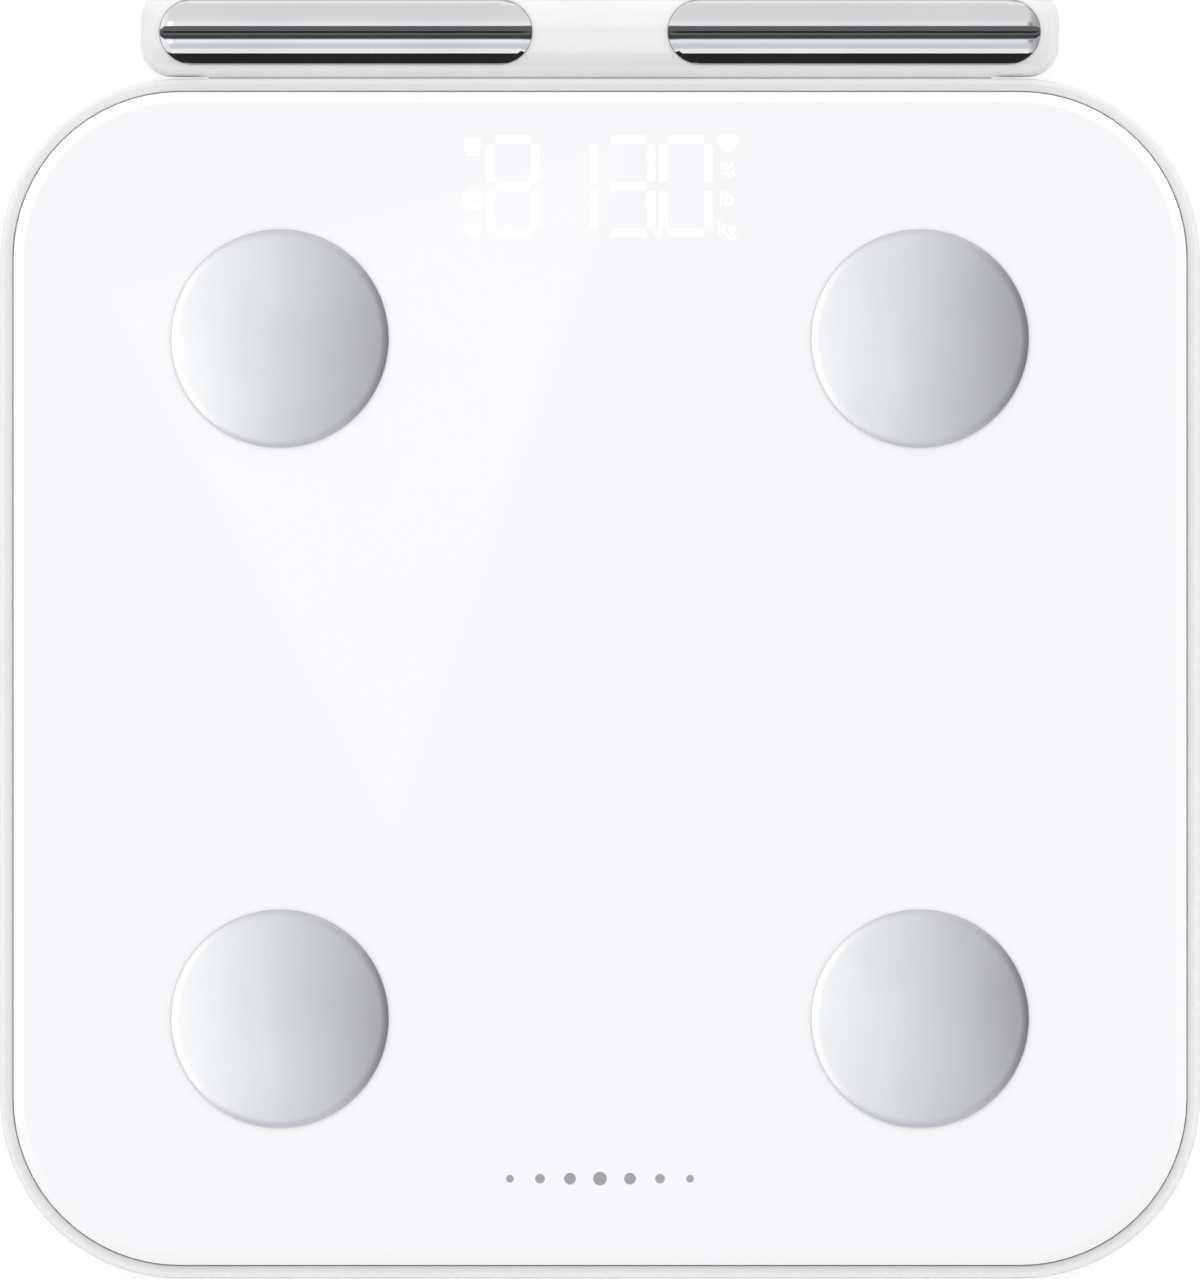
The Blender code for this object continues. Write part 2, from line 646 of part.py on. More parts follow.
def wiring_loom(platform):
    """The leads of the load cells and foot electrodes, laid over the floor into one trunk."""
    low = 9.9
    trunk = [(-62, 56, low), (-61, 28, low), (-40, 11, low), (10, 5, low), (28, -5, low)]
    trunk += [(32, -14, low + 1), ((BOARD_X - BOARD_SIZE[0] / 2) / MM - 2.2, -20, 14.5)]
    to_cells = [
        [(-96.2, 112, 12.4), (-90, 108, low), (-68, 74, low), (-62, 55, low)],
        [(-96.2, -112, 12.4), (-90, -106, low), (-56, -72, low), (-40, -30, low), (-38, 10, low)],
        [(96.2, 112, 12.4), (90, 106, low), (76, 60, low), (44, 22, low), (10, 5, low)],
        [(96.2, -112, 12.4), (95, -90, low), (94, -40, low), (84, 0, low), (50, 6, low), (24, -2, low)],
    ]
    to_electrodes = [
        [(-76.5, 82, 17), (-73, 79, 12), (-68, 74, low)],
        [(-77, -82, 17), (-67, -77, 11.5), (-56, -72, low)],
        [(81, 80.5, 17), (79, 70, 11.5), (76, 60, low)],
        [(84, -86, 17), (89, -88, 11.5), (95, -90, low)],
    ]
    bm = bmesh.new()
    add_tube(bm, smooth_route(in_metres(trunk), 12 * MM), 1.4 * MM)
    loom = piece("wiring_loom", bm, "cord", platform)
    for name, routes in (("cell_leads", to_cells), ("electrode_leads", to_electrodes)):
        bm = bmesh.new()
        for route in routes:
            add_tube(bm, smooth_route(in_metres(route), 16 * MM), 0.9 * MM, sides=4)
        combine(loom, helper(name, bm, platform), "UNION")


# ---------------------------------------------------------------- reel and cord


def cord_reel(platform):
    """The reel and what turns with it: the wound cord, the mainspring and the slip-ring disc."""
    shaft = empty("reel_shaft", (REEL_X, REEL_Y, 0), platform)
    hub = WINDING_RADII[0] - GAP
    profile = [(3.4 * MM, 9.0), (REEL_RADIUS, 9.0), (REEL_RADIUS, 9.8), (hub, 9.8), (hub, 16.2)]
    profile += [(REEL_RADIUS, 16.2), (REEL_RADIUS, 17.0), (12.6 * MM, 17.0), (12.6 * MM, 9.8), (3.4 * MM, 9.8)]
    bm = bmesh.new()
    add_turned(bm, [(radius, z * MM) for radius, z in profile], 20, ring=True)
    piece("cord_reel", bm, "grey_plastic", shaft)
    bm = bmesh.new()
    add_washer(bm, WINDING_RADII, (10.1 * MM, 15.9 * MM), sides=20)
    piece("cord_winding", bm, "cord", shaft)
    bm = bmesh.new()
    add_washer(bm, (7 * MM, 20 * MM), (17.3 * MM, 18.3 * MM), sides=20)
    piece("slip_ring_disc", bm, "circuit_board", shaft)
    bm = bmesh.new()
    add_spiral(bm)
    piece("reel_spring", bm, "spring_steel", shaft)


def add_spiral(bm):
    """The mainspring: a flat strip wound in the reel's barrel, from the shaft outwards."""
    turns, per_turn, strip = 3, 12, 0.45 * MM
    inner, outer = 3.5 * MM, 12.1 * MM - strip
    count = round(turns * per_turn)
    loops = []
    for step in range(count + 1):
        angle = math.tau * turns * step / count
        near = inner + (outer - inner) * step / count
        section = [(near, 10.3), (near + strip, 10.3), (near + strip, 15.3), (near, 15.3)]
        loops.append([(r * math.cos(angle), r * math.sin(angle), z * MM) for r, z in section])
    add_loft(bm, loops)


def reel_mounts(platform):
    """What holds the reel: its shaft, the wall round it and the board whose brushes touch the disc."""
    centre = (REEL_X, REEL_Y, 0)
    bm = bmesh.new()
    profile = [(0, 8.8), (3.0, 8.8), (3.0, 18.9), (0, 18.9)]
    add_turned(bm, [(r * MM, z * MM) for r, z in profile], 12)
    piece("reel_axle", bm, "steel", platform, centre)
    inner, outer = REEL_WALL
    start, end, steps = math.radians(43), math.radians(382), 20
    turns = [start + (end - start) * step / steps for step in range(steps + 1)]
    outline = [(outer * math.cos(turn), outer * math.sin(turn)) for turn in turns]
    outline += [(inner * math.cos(turn), inner * math.sin(turn)) for turn in reversed(turns)]
    bm = bmesh.new()
    add_prism(bm, outline, FLOOR_TOP + GAP, 19.1 * MM)
    piece("reel_housing", bm, "grey_plastic", platform, centre)
    bm = bmesh.new()
    add_box(bm, 60 * MM, 14 * MM, (19.4 * MM, 20.6 * MM))
    board = piece("brush_board", bm, "circuit_board", platform, centre)
    brushes = bmesh.new()
    for track in range(4):
        add_box(brushes, 1.2 * MM, 6 * MM, (18.6 * MM, 19.8 * MM), ((9 + 3 * track) * MM, 0))
    combine(board, helper("brushes", brushes, platform, centre), "UNION")


def cord(platform):
    """The cord's fixed run from the reel to the cradle, its gland, and its free end up to the bar."""
    centre = BAR_Y / MM
    points = [(0, REEL_Y / MM, 11.2), (0, 80, 11.2), (0, 92, 10.7), (0, 108, 10.1), (0, 132, 9.9)]
    points += [(0, 141, 9.0), (0, 148, 7.7), (0, 154, 7.35), (0, centre - 3, 7.4)]
    points += [(0, centre - 1.1, 7.8), (0, centre - 0.2, 8.7), (0, centre, GLAND_TOP / MM)]
    cord_tube("cord_lead", smooth_route(in_metres(points), 5 * MM), "cord", platform)
    bm = bmesh.new()
    profile = [(2.5, 8.6), (3.8, 8.6), (3.8, 9.0), (3.4, 9.3), (2.8, 9.3), (2.5, 9.0)]
    add_turned(bm, [(r * MM, z * MM) for r, z in profile], 16, ring=True)
    piece("cord_gland", bm, "rubber", platform, (0, BAR_Y, 0))
    bm = bmesh.new()
    top = BAR_CENTRE_Z + BOOT_BOTTOM - GAP
    add_cylinder(bm, CORD_RADIUS, (GLAND_TOP + GAP, top), sides=8)
    piece("cord_riser", bm, "cord", platform, (0, BAR_Y, 0))
    for name, side in (("left", -1), ("right", 1)):
        bm = bmesh.new()
        add_box(bm, 20 * MM, 7 * MM, (5.1 * MM, 7.4 * MM))
        piece("dock_magnet_" + name, bm, "magnet", platform, (side * LOWER_PAD[0], BAR_Y, 0))


# ---------------------------------------------------------------- hand bar


def bar_shrink(x, grow=0.0):
    """How far the bar's section has drawn in at x, where its ends round off."""
    radius = BAR_CORNER + grow
    past = abs(x) - (BAR_LENGTH / 2 - BAR_CORNER)
    past = min(max(past, 0), radius)
    return radius - math.sqrt(radius**2 - past**2)


def bar_surface(x, y):
    """The height of the bar's surface over its centre plane."""
    shrink = bar_shrink(x)
    half_y = BAR_WIDTH / 2 - shrink
    half_z = BAR_HEIGHT / 2 - shrink
    return half_z * (1 - min(abs(y) / half_y, 1) ** BAR_ROUNDNESS) ** (1 / BAR_ROUNDNESS)


def bar_loops(side, grow, base):
    """Sections of the bar's upper (side 1) or lower (-1) half, grown all round, down to base."""
    radius = BAR_CORNER + grow
    straight = BAR_LENGTH / 2 - BAR_CORNER
    ends = [straight + radius * math.sin(math.pi / 2 * step / 3) for step in range(4)]
    power = 2 / BAR_ROUNDNESS
    loops = []
    for x in [-end for end in reversed(ends)] + ends:
        shrink = bar_shrink(x, grow)
        half_y = BAR_WIDTH / 2 + grow - shrink
        half_z = BAR_HEIGHT / 2 + grow - shrink
        loop = [(x, half_y, -side * base)]
        for step in range(1, BAR_ARC_STEPS):
            angle = math.pi * step / BAR_ARC_STEPS
            y = half_y * math.copysign(abs(math.cos(angle)) ** power, math.cos(angle))
            loop.append((x, y, side * half_z * math.sin(angle) ** power))
        loop.append((x, -half_y, -side * base))
        loops.append(loop)
    return loops


def pad_loops(side, centre, length, width, depth, proud):
    """Sections of a pill-shaped patch of the bar's surface, from depth below it to proud above."""
    radius = width / 2
    turns = [math.radians(angle) for angle in (0, 30, 60, 80)]
    ends = [(length / 2 - radius + radius * math.sin(turn), radius * math.cos(turn)) for turn in turns]
    loops = []
    for x, half in [(-x, half) for x, half in reversed(ends)] + ends:
        across = [half * (step / 3 - 1) for step in range(7)]
        top = [(centre + x, y, side * (bar_surface(centre + x, y) + proud)) for y in across]
        bottom = [(centre + x, y, side * (bar_surface(centre + x, y) - depth)) for y in reversed(across)]
        loops.append(top + bottom)
    return loops


def hand_electrodes(bar, level, side, pad):
    """The left and right pads on one face of the bar, each with a stud to the bar's board."""
    centre, length, width = pad
    for name, sign in (("left", -1), ("right", 1)):
        bm = bmesh.new()
        add_loft(bm, pad_loops(side, sign * centre, length, width, PAD_THICKNESS - PAD_PROUD, PAD_PROUD))
        made = piece(f"hand_electrode_{level}_{name}", bm, "chrome", bar)
        stud = bmesh.new()
        heights = sorted((side * 1.4 * MM, side * (BAR_HEIGHT / 2 - 0.3 * MM)))
        add_cylinder(stud, 1.3 * MM, heights, (sign * STUD_X, 0), sides=6)
        combine(made, helper(f"stud_{level}_{name}", stud, bar), "UNION")


def handle_shell(bar, level, side, pad):
    """One half of the bar's casing: hollow, with pockets for its two pads and four screw bosses."""
    outside = bmesh.new()
    add_loft(outside, bar_loops(side, 0, -PARTING))
    shell = piece(f"handle_{level}_shell", outside, "white_shell", bar)
    cavity = bmesh.new()
    add_loft(cavity, bar_loops(side, -BAR_WALL, 1 * MM))
    combine(shell, helper(f"cavity_{level}", cavity, bar), "DIFFERENCE")
    bosses = bmesh.new()
    outer_end = side * (BAR_HEIGHT / 2 - 1.5 * MM)
    for x in BAR_SCREW_X:
        add_cylinder(bosses, 3.2 * MM, sorted((side * 0.5 * MM, outer_end)), (x, 0), sides=8)
    combine(shell, helper(f"bosses_{level}", bosses, bar), "UNION")
    combine(shell, pad_cutter(bar, level, side, pad), "DIFFERENCE")
    combine(shell, shell_holes(bar, level, side), "DIFFERENCE")


def pad_cutter(bar, level, side, pad):
    """The two pockets that one face's pads lie in."""
    centre, length, width = pad
    bm = bmesh.new()
    for sign in (-1, 1):
        size = (length + 2 * GAP, width + 2 * GAP)
        add_loft(bm, pad_loops(side, sign * centre, *size, POCKET_DEPTH, 4 * MM))
    return helper(f"pockets_{level}", bm, bar)


def shell_holes(bar, level, side):
    """Holes for the pads' studs and the screws, and in the lower shell the cord's."""
    bm = bmesh.new()
    for sign in (-1, 1):
        heights = sorted((side * 4 * MM, side * 12 * MM))
        add_cylinder(bm, 1.8 * MM, heights, (sign * STUD_X, 0), sides=6)
    for x in BAR_SCREW_X:
        if side > 0:
            add_cylinder(bm, 1.4 * MM, (-1 * MM, 5.4 * MM), (x, 0), sides=8)
        else:
            profile = [(0, -12), (2.6, -12), (2.6, -6.6), (1.4, -6.6), (1.4, 1), (0, 1)]
            add_turned(bm, [(r * MM, z * MM) for r, z in profile], 8, (x, 0))
    if side < 0:
        add_cylinder(bm, 4.2 * MM, (-12 * MM, -7 * MM), (0, 0), sides=12)
    return helper(f"holes_{level}", bm, bar)


def handle_inside(bar):
    """What the bar holds: its board, steel keepers for the dock magnets and the cord's boot."""
    bm = bmesh.new()
    add_box(bm, 96 * MM, 10 * MM, (-1.0 * MM, 0.2 * MM))
    board = piece("handle_board", bm, "circuit_board", bar)
    holes = bmesh.new()
    for x in BAR_SCREW_X[1:3]:
        add_cylinder(holes, 3.6 * MM, (-3 * MM, 3 * MM), (x, 0), sides=8)
    combine(board, helper("handle_board_holes", holes, bar), "DIFFERENCE")
    for name, side in (("left", -1), ("right", 1)):
        bm = bmesh.new()
        add_box(bm, 20 * MM, 6 * MM, (-7.0 * MM, -5.8 * MM))
        piece("handle_keeper_" + name, bm, "steel", bar, (side * LOWER_PAD[0], 0, 0))
    bm = bmesh.new()
    low = BOOT_BOTTOM / MM
    profile = [(0, low), (5.2, low), (5.2, low + 1), (3.2, low + 1.4), (2.2, -2.4), (0, -2.4)]
    add_turned(bm, [(r * MM, z * MM) for r, z in profile], 12)
    piece("handle_cord_boot", bm, "rubber", bar)


def main():
    for old in list(bpy.data.objects):
        bpy.data.objects.remove(old)
    platform = empty("platform", (0, PLATFORM_Y, 0))
    bar = empty("hand_bar", (0, BAR_Y, BAR_CENTRE_Z), platform)
    for make in (base_tray, rim_frame, glass_plate, glass_tape, foot_electrodes):
        make(platform)
    for corner, (sign_x, sign_y) in CORNERS.items():
        foot(corner, sign_x, sign_y, platform)
    for make in (battery_door, batteries, battery_contacts, main_board, unit_controls):
        make(platform)
    for make in (display, wiring_loom, cord_reel, reel_mounts, cord):
        make(platform)
    for level, side, pad in (("upper", 1, UPPER_PAD), ("lower", -1, LOWER_PAD)):
        handle_shell(bar, level, side, pad)
        hand_electrodes(bar, level, side, pad)
    handle_inside(bar)


main()
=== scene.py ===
"""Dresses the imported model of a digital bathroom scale: shapes, finishes, stage and camera."""

import math

import bmesh
import bpy
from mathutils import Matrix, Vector


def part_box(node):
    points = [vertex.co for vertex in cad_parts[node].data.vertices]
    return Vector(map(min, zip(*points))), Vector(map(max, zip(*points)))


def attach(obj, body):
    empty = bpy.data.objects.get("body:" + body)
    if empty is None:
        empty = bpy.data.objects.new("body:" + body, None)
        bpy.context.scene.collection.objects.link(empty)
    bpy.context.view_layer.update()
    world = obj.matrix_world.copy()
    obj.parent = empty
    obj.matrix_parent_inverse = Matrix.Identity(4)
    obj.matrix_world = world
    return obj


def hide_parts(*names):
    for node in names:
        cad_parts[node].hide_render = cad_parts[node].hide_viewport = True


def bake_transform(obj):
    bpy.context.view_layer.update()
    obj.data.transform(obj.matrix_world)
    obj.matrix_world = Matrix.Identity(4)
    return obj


bl_info = {
    "name": "Digital bathroom scale",
    "version": (1, 0, 0),
    "blender": (4, 5, 0),
    "location": "View3D > Sidebar > Scale",
    "description": "Models and finishes a glass bathroom scale with a docked hand bar",
    "category": "Object",
}

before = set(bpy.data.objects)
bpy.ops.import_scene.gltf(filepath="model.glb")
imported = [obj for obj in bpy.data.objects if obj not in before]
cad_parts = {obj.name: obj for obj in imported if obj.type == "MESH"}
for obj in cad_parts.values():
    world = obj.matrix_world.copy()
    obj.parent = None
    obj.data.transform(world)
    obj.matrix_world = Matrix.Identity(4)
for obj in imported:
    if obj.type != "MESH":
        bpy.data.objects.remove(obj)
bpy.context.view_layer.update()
MM = 0.001

CORNERS = {
    "front_left": (-1, -1),
    "front_right": (1, -1),
    "rear_left": (-1, 1),
    "rear_right": (1, 1),
}
RIM_LOW, RIM_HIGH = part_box("rim_frame")
GLASS_LOW, GLASS_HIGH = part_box("glass_plate")
BAR_LOW, BAR_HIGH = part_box("handle_upper_shell")
PLATFORM = (RIM_LOW + RIM_HIGH) / 2
HALF_PARTING = 0.15 * MM
BAR = Vector((0, (BAR_LOW.y + BAR_HIGH.y) / 2, BAR_LOW.z - HALF_PARTING))
BAR_SCREWS_X = (-104, -14, 14, 104)
PI = math.pi


def middle(node):
    """The middle of a CAD node's box."""
    low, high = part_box(node)
    return (low + high) / 2


# ---------------------------------------------------------------- settings


def length(name, description, default):
    """A property that is a length, given in millimetres."""
    return bpy.props.FloatProperty(
        name=name, description=description, default=default * MM, min=0, unit="LENGTH", precision=5
    )


def colour(name, description, default):
    """A property that is a colour, given as sRGB hex."""
    return bpy.props.FloatVectorProperty(
        name=name, description=description, default=linear(default), size=3, min=0, max=1, subtype="COLOR"
    )


def linear(hex_colour):
    """The linear values of an sRGB hex colour."""
    values = [int(hex_colour[start : start + 2], 16) / 255 for start in (0, 2, 4)]
    return [v / 12.92 if v <= 0.04045 else ((v + 0.055) / 1.055) ** 2.4 for v in values]


class ScalePlatformSettings(bpy.types.PropertyGroup):
    half: length("Half width", "Half of the platform's width", (RIM_HIGH.x - RIM_LOW.x) / 2 / MM)
    corner: length("Corner radius", "Radius of the platform's corners", 45)
    rim_fall: length("Rim fall", "How far the rim's inner slope falls", 0.8)
    glass_inset: length("Glass inset", "From the platform's edge to the glass", 3.4)
    bevel_width: length("Bevel width", "Width of the glass's polished bevel", 2.6)
    bevel_height: length("Bevel height", "Height of the glass's polished bevel", 1.2)
    disc_dome: length("Disc dome", "How far a foot electrode rises to its middle", 0.95)


class ScaleBarSettings(bpy.types.PropertyGroup):
    wall: length("Wall", "Thickness of the bar's casing", 1.8)
    end_radius: length("End radius", "Rounding of the bar's ends", 8)
    pad_proud: length("Pad proud", "How far a hand electrode stands out", 0.35)
    pad_thickness: length("Pad thickness", "Thickness of a hand electrode", 1.2)
    parting: length("Parting", "Gap between the two casings", 0.3)


class ScaleDisplaySettings(bpy.types.PropertyGroup):
    digit_width: length("Digit width", "Between a digit's upright strokes", 11.3)
    digit_height: length("Digit height", "Between a digit's top and bottom strokes", 23.3)
    stroke: length("Stroke", "Width of a stroke", 2.0)
    reading: bpy.props.StringProperty(
        name="Reading", description="Four digits that are lit", default="8130"
    )


class ScaleColourSettings(bpy.types.PropertyGroup):
    casing: colour("Casing", "Gloss white ABS of the rim and the hand bar", "F4F4F5")
    underside: colour("Underside", "Satin white ABS of the tray", "E8E8E9")
    print_coat: colour("Print", "White enamel printed on the back of the glass", "F4F3F6")
    mark: colour("Mark", "Grey ink of the generic mark", "A2A3A6")
    rubber: colour("Rubber", "Dark grey nitrile rubber", "3C3C3E")
    grey: colour("Grey plastic", "Grey ABS of the foot housings and the button", "A9ABAF")


class ScaleStageSettings(bpy.types.PropertyGroup):
    lens: bpy.props.FloatProperty(
        name="Lens", description="Focal length of the camera", default=1000, unit="CAMERA"
    )
    floor: colour("Floor", "Pale floor", "F6F6F6")
    light: bpy.props.FloatProperty(
        name="Light", description="Strength of the soft light all round", default=1.04, min=0
    )


class BathroomScaleSettings(bpy.types.PropertyGroup):
    platform: bpy.props.PointerProperty(type=ScalePlatformSettings)
    bar: bpy.props.PointerProperty(type=ScaleBarSettings)
    display: bpy.props.PointerProperty(type=ScaleDisplaySettings)
    colours: bpy.props.PointerProperty(type=ScaleColourSettings)
    stage: bpy.props.PointerProperty(type=ScaleStageSettings)


def settings():
    """All the settings of the scale."""
    return bpy.context.scene.bathroom_scale


# ---------------------------------------------------------------- modelling


def go(mode):
    """Goes into edit or object mode."""
    bpy.ops.object.mode_set(mode=mode)


def begin():
    """Object mode, with nothing selected."""
    if bpy.context.mode != "OBJECT":
        go("OBJECT")
    bpy.ops.object.select_all(action="DESELECT")


def only(piece):
    """Makes this the one selected and active object."""
    begin()
    piece.select_set(True)
    bpy.context.view_layer.objects.active = piece


def pick(kind, test):
    """In edit mode, selects only the verts, edges or faces that pass a test."""
    kinds = {"verts": "VERT", "edges": "EDGE", "faces": "FACE"}
    bpy.ops.mesh.select_mode(type=kinds[kind])
    bpy.ops.mesh.select_all(action="DESELECT")
    mesh = bmesh.from_edit_mesh(bpy.context.object.data)
    for item in getattr(mesh, kind):
        if test(item):
            item.select_set(True)
    mesh.select_flush_mode()
    bmesh.update_edit_mesh(bpy.context.object.data)


def at_height(edge, height):
    """Whether an edge lies level at a height."""
    return all(abs(vert.co.z - height) < 0.02 * MM for vert in edge.verts)


def modify(piece, kind, **values):
    """Adds a modifier and applies it."""
    only(piece)
    modifier = piece.modifiers.new(kind, kind)
    for name, value in values.items():
        setattr(modifier, name, value)
    bpy.ops.object.modifier_apply(modifier=modifier.name)


def combine(piece, other, operation="DIFFERENCE"):
    """Cuts with, joins or keeps what is in another shape, which is then gone."""
    modify(piece, "BOOLEAN", operation=operation, object=other, solver="EXACT")
    bpy.data.objects.remove(other)


def join(pieces):
    """One object from several that don't cross."""
    only(pieces[0])
    for piece in pieces[1:]:
        piece.select_set(True)
    bpy.ops.object.join()
    return bpy.context.object


def place(piece):
    """Moves an object's place, turn and scale into its mesh."""
    only(piece)
    bpy.ops.object.transform_apply(location=True, rotation=True, scale=True)
    return piece


def shape():
    """Leaves edit mode with the faces outwards, and gives the shape."""
    bpy.ops.mesh.select_all(action="SELECT")
    bpy.ops.mesh.remove_doubles(threshold=0.001 * MM)
    bpy.ops.mesh.normals_make_consistent(inside=False)
    go("OBJECT")
    return place(bpy.context.object)


def finish(piece, name, body, materials, node=None, bevel=0.0, angle=35):
    """Names a finished piece, rounds, smooths and paints it, and sets it on its body, if it has one.

    Materials are names of finishes, or materials themselves. Edges past the angle stay crisp.
    """
    sharp = math.radians(angle)
    if bevel:
        modify(piece, "BEVEL", width=bevel, segments=2, limit_method="ANGLE", angle_limit=sharp)
    only(piece)
    bpy.ops.object.shade_smooth_by_angle(angle=sharp)
    piece.name = piece.data.name = name
    piece.data.materials.clear()
    for item in materials:
        piece.data.materials.append(material(item) if isinstance(item, str) else item)
    if body:
        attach(piece, body)
    if node:
        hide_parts(*([node] if isinstance(node, str) else node))
    return piece


def copy_of(piece, offset):
    """A copy with its own mesh, moved."""
    made = piece.copy()
    made.data = piece.data.copy()
    bpy.context.collection.objects.link(made)
    made.location = offset
    return place(made)


def turned(profile, sides=48, centre=(0, 0), ring=False):
    """A round piece: its profile of (radius, height) in millimetres, spun about an upright axis."""
    cx, cy = centre
    begin()
    points = [Vector((cx + radius * MM, cy, z * MM)) for radius, z in profile]
    # A point to draw the profile from
    bpy.ops.mesh.primitive_plane_add(size=MM, location=points[0], enter_editmode=True)
    bpy.ops.mesh.select_mode(type="VERT")
    bpy.ops.mesh.merge(type="CENTER")
    for here, there in zip(points, points[1:]):
        bpy.ops.mesh.extrude_region_move(TRANSFORM_OT_translate={"value": there - here})
    bpy.ops.mesh.select_all(action="SELECT")
    if ring:
        start, ends = bpy.context.object.location, (points[0], points[-1])
        pick("verts", lambda vert: min((vert.co + start - end).length for end in ends) < 0.001 * MM)
        bpy.ops.mesh.edge_face_add()
        bpy.ops.mesh.select_all(action="SELECT")
    bpy.ops.mesh.spin(steps=sides, angle=2 * PI, center=(cx, cy, 0), axis=(0, 0, 1))
    return shape()


def rod(radius, low, high, centre, sides=24):
    """An upright round rod between two heights in millimetres, at a centre in metres."""
    return turned([(0, low), (radius, low), (radius, high), (0, high)], sides, centre[:2])


def block(low, high, bevel=0.0, upright_only=False, segments=3):
    """A box between two corners in millimetres, with its edges rounded."""
    begin()
    low, high = Vector(low) * MM, Vector(high) * MM
    bpy.ops.mesh.primitive_cube_add(size=1, location=(low + high) / 2, scale=high - low)
    made = place(bpy.context.object)
    if bevel:
        go("EDIT")
        if upright_only:
            pick("edges", lambda edge: abs(edge.verts[0].co.z - edge.verts[1].co.z) > 0.01 * MM)
        bpy.ops.mesh.bevel(offset=bevel * MM, segments=segments)
        made = shape()
    return made


def platform_plate(inset, height, segments=16):
    """In edit mode, a face in the platform's outline, moved in by inset."""
    p = settings().platform
    begin()
    where = (PLATFORM.x, PLATFORM.y, height)
    bpy.ops.mesh.primitive_plane_add(size=2 * (p.half - inset), location=where, enter_editmode=True)
    bpy.ops.mesh.bevel(offset=p.corner - inset, segments=segments, affect="VERTICES")
    go("OBJECT")
    place(bpy.context.object)
    go("EDIT")
    bpy.ops.mesh.select_mode(type="FACE")
    bpy.ops.mesh.select_all(action="SELECT")


def step(inward, upward):
    """Takes the selected face in and up, leaving a band behind it."""
    if inward:
        bpy.ops.mesh.inset(thickness=inward, depth=upward, use_even_offset=True)
    else:
        bpy.ops.mesh.extrude_region_move(TRANSFORM_OT_translate={"value": (0, 0, upward)})


def skirt(height, down, inward, half):
    """Takes the level edges at a height down, and in towards the platform's middle."""
    pick("edges", lambda edge: at_height(edge, height) and edge.is_boundary)
    bpy.ops.mesh.extrude_region_move(TRANSFORM_OT_translate={"value": (0, 0, -down)})
    if inward:
        ratio = (half - inward) / half
        bpy.ops.transform.resize(
            value=(ratio, ratio, 1), center_override=(PLATFORM.x, PLATFORM.y, height)
        )


def bar_body(grow, side=0):
    """The hand bar's outer surface grown all round: whole, or open above (1) or below (-1)."""
    b = settings().bar
    size = BAR_HIGH - BAR_LOW
    height = 2 * (BAR_HIGH.z - BAR.z) + 2 * grow
    width = size.y + 2 * grow
    radius = b.end_radius + grow
    straight = size.x + 2 * grow - 2 * radius
    fullness = 0.574  # a bevel profile just past the round, which is the section's superellipse
    begin()
    bpy.ops.mesh.primitive_cube_add(size=1, location=BAR, scale=(straight, height, height))
    place(bpy.context.object)
    go("EDIT")
    pick("edges", lambda edge: abs(edge.verts[0].co.x - edge.verts[1].co.x) > MM)
    bpy.ops.mesh.bevel(offset=height / 2, segments=14, profile=fullness, clamp_overlap=True)
    bpy.ops.mesh.select_all(action="SELECT")
    bpy.ops.mesh.remove_doubles(threshold=0.01 * MM)
    bpy.ops.transform.resize(value=(1, width / height, 1), center_override=BAR)
    steps = 7
    turns = [PI / 2 * index / steps for index in range(steps + 1)]
    pick("faces", lambda face: abs(face.normal.x) > 0.9)
    for here, there in zip(turns, turns[1:]):
        bpy.ops.mesh.inset(
            thickness=radius * (math.cos(here) - math.cos(there)),
            depth=radius * (math.sin(there) - math.sin(here)),
            use_even_offset=True,
        )
    made = shape()
    # Loops that keep the long faces' shading straight up to the rounded ends of bar and pads
    loops = [0, straight / 2 - 0.5 * MM, straight / 2 - 2 * MM]
    for level in ("upper", "lower"):
        for name, x, long, wide in pads(level):
            if name == "right":
                reach = (long - wide) / 2 - 0.4 * MM
                loops += [x - reach - 0.3 * wide, x - reach, x + reach]
    cuts = [(Vector((sign * x, 0, 0)), (1, 0, 0), False) for x in loops for sign in (-1, 1)]
    if side:
        cuts.append((BAR + Vector((0, 0, side * b.parting / 2)), (0, 0, side), True))
    go("EDIT")
    for where, across, clear in cuts:
        bpy.ops.mesh.select_all(action="SELECT")
        bpy.ops.mesh.bisect(plane_co=where, plane_no=across, clear_inner=clear, threshold=1e-7)
    go("OBJECT")
    return made


def bar_skin(grow, thickness, side):
    """One half of the hand bar's surface, with a thickness inwards."""
    skin = bar_body(grow, side)
    modify(skin, "SOLIDIFY", thickness=thickness, offset=-1, use_even_offset=True)
    return skin


def pad_outline(centre_x, long, wide, side):
    """An upright slab with half-round ends, over (1) or under (-1) the hand bar's middle."""
    near, far = BAR.z + side * 2 * MM, BAR.z + side * 14 * MM
    half = Vector((long / 2, wide / 2, 0))
    low = Vector((centre_x, BAR.y, min(near, far))) - half
    high = Vector((centre_x, BAR.y, max(near, far))) + half
    return block(low / MM, high / MM, wide / 2 / MM - 0.02, upright_only=True, segments=12)


# ---------------------------------------------------------------- finishes


def feed(tree, node, inputs):
    """Sets a node's inputs, each as a number or as the node or output that feeds it."""
    for name, value in inputs.items():
        if isinstance(value, bpy.types.Node):
            value = value.outputs[0]
        if isinstance(value, bpy.types.NodeSocket):
            tree.links.new(value, node.inputs[name])
        else:
            node.inputs[name].default_value = value


def add_node(tree, kind, inputs=None, **values):
    """Adds one node, with its settings and its inputs."""
    made = tree.nodes.new("ShaderNode" + kind)
    for name, value in values.items():
        setattr(made, name, value)
    feed(tree, made, inputs or {})
    return made


def set_ramp(ramp, stops):
    """Gives a colour ramp its stops, as (place, colour)."""
    elements = ramp.color_ramp.elements
    while len(elements) < len(stops):
        elements.new(0.5)
    for element, (where, value) in zip(elements, stops):
        element.position = where
        element.color = (*value, 1)


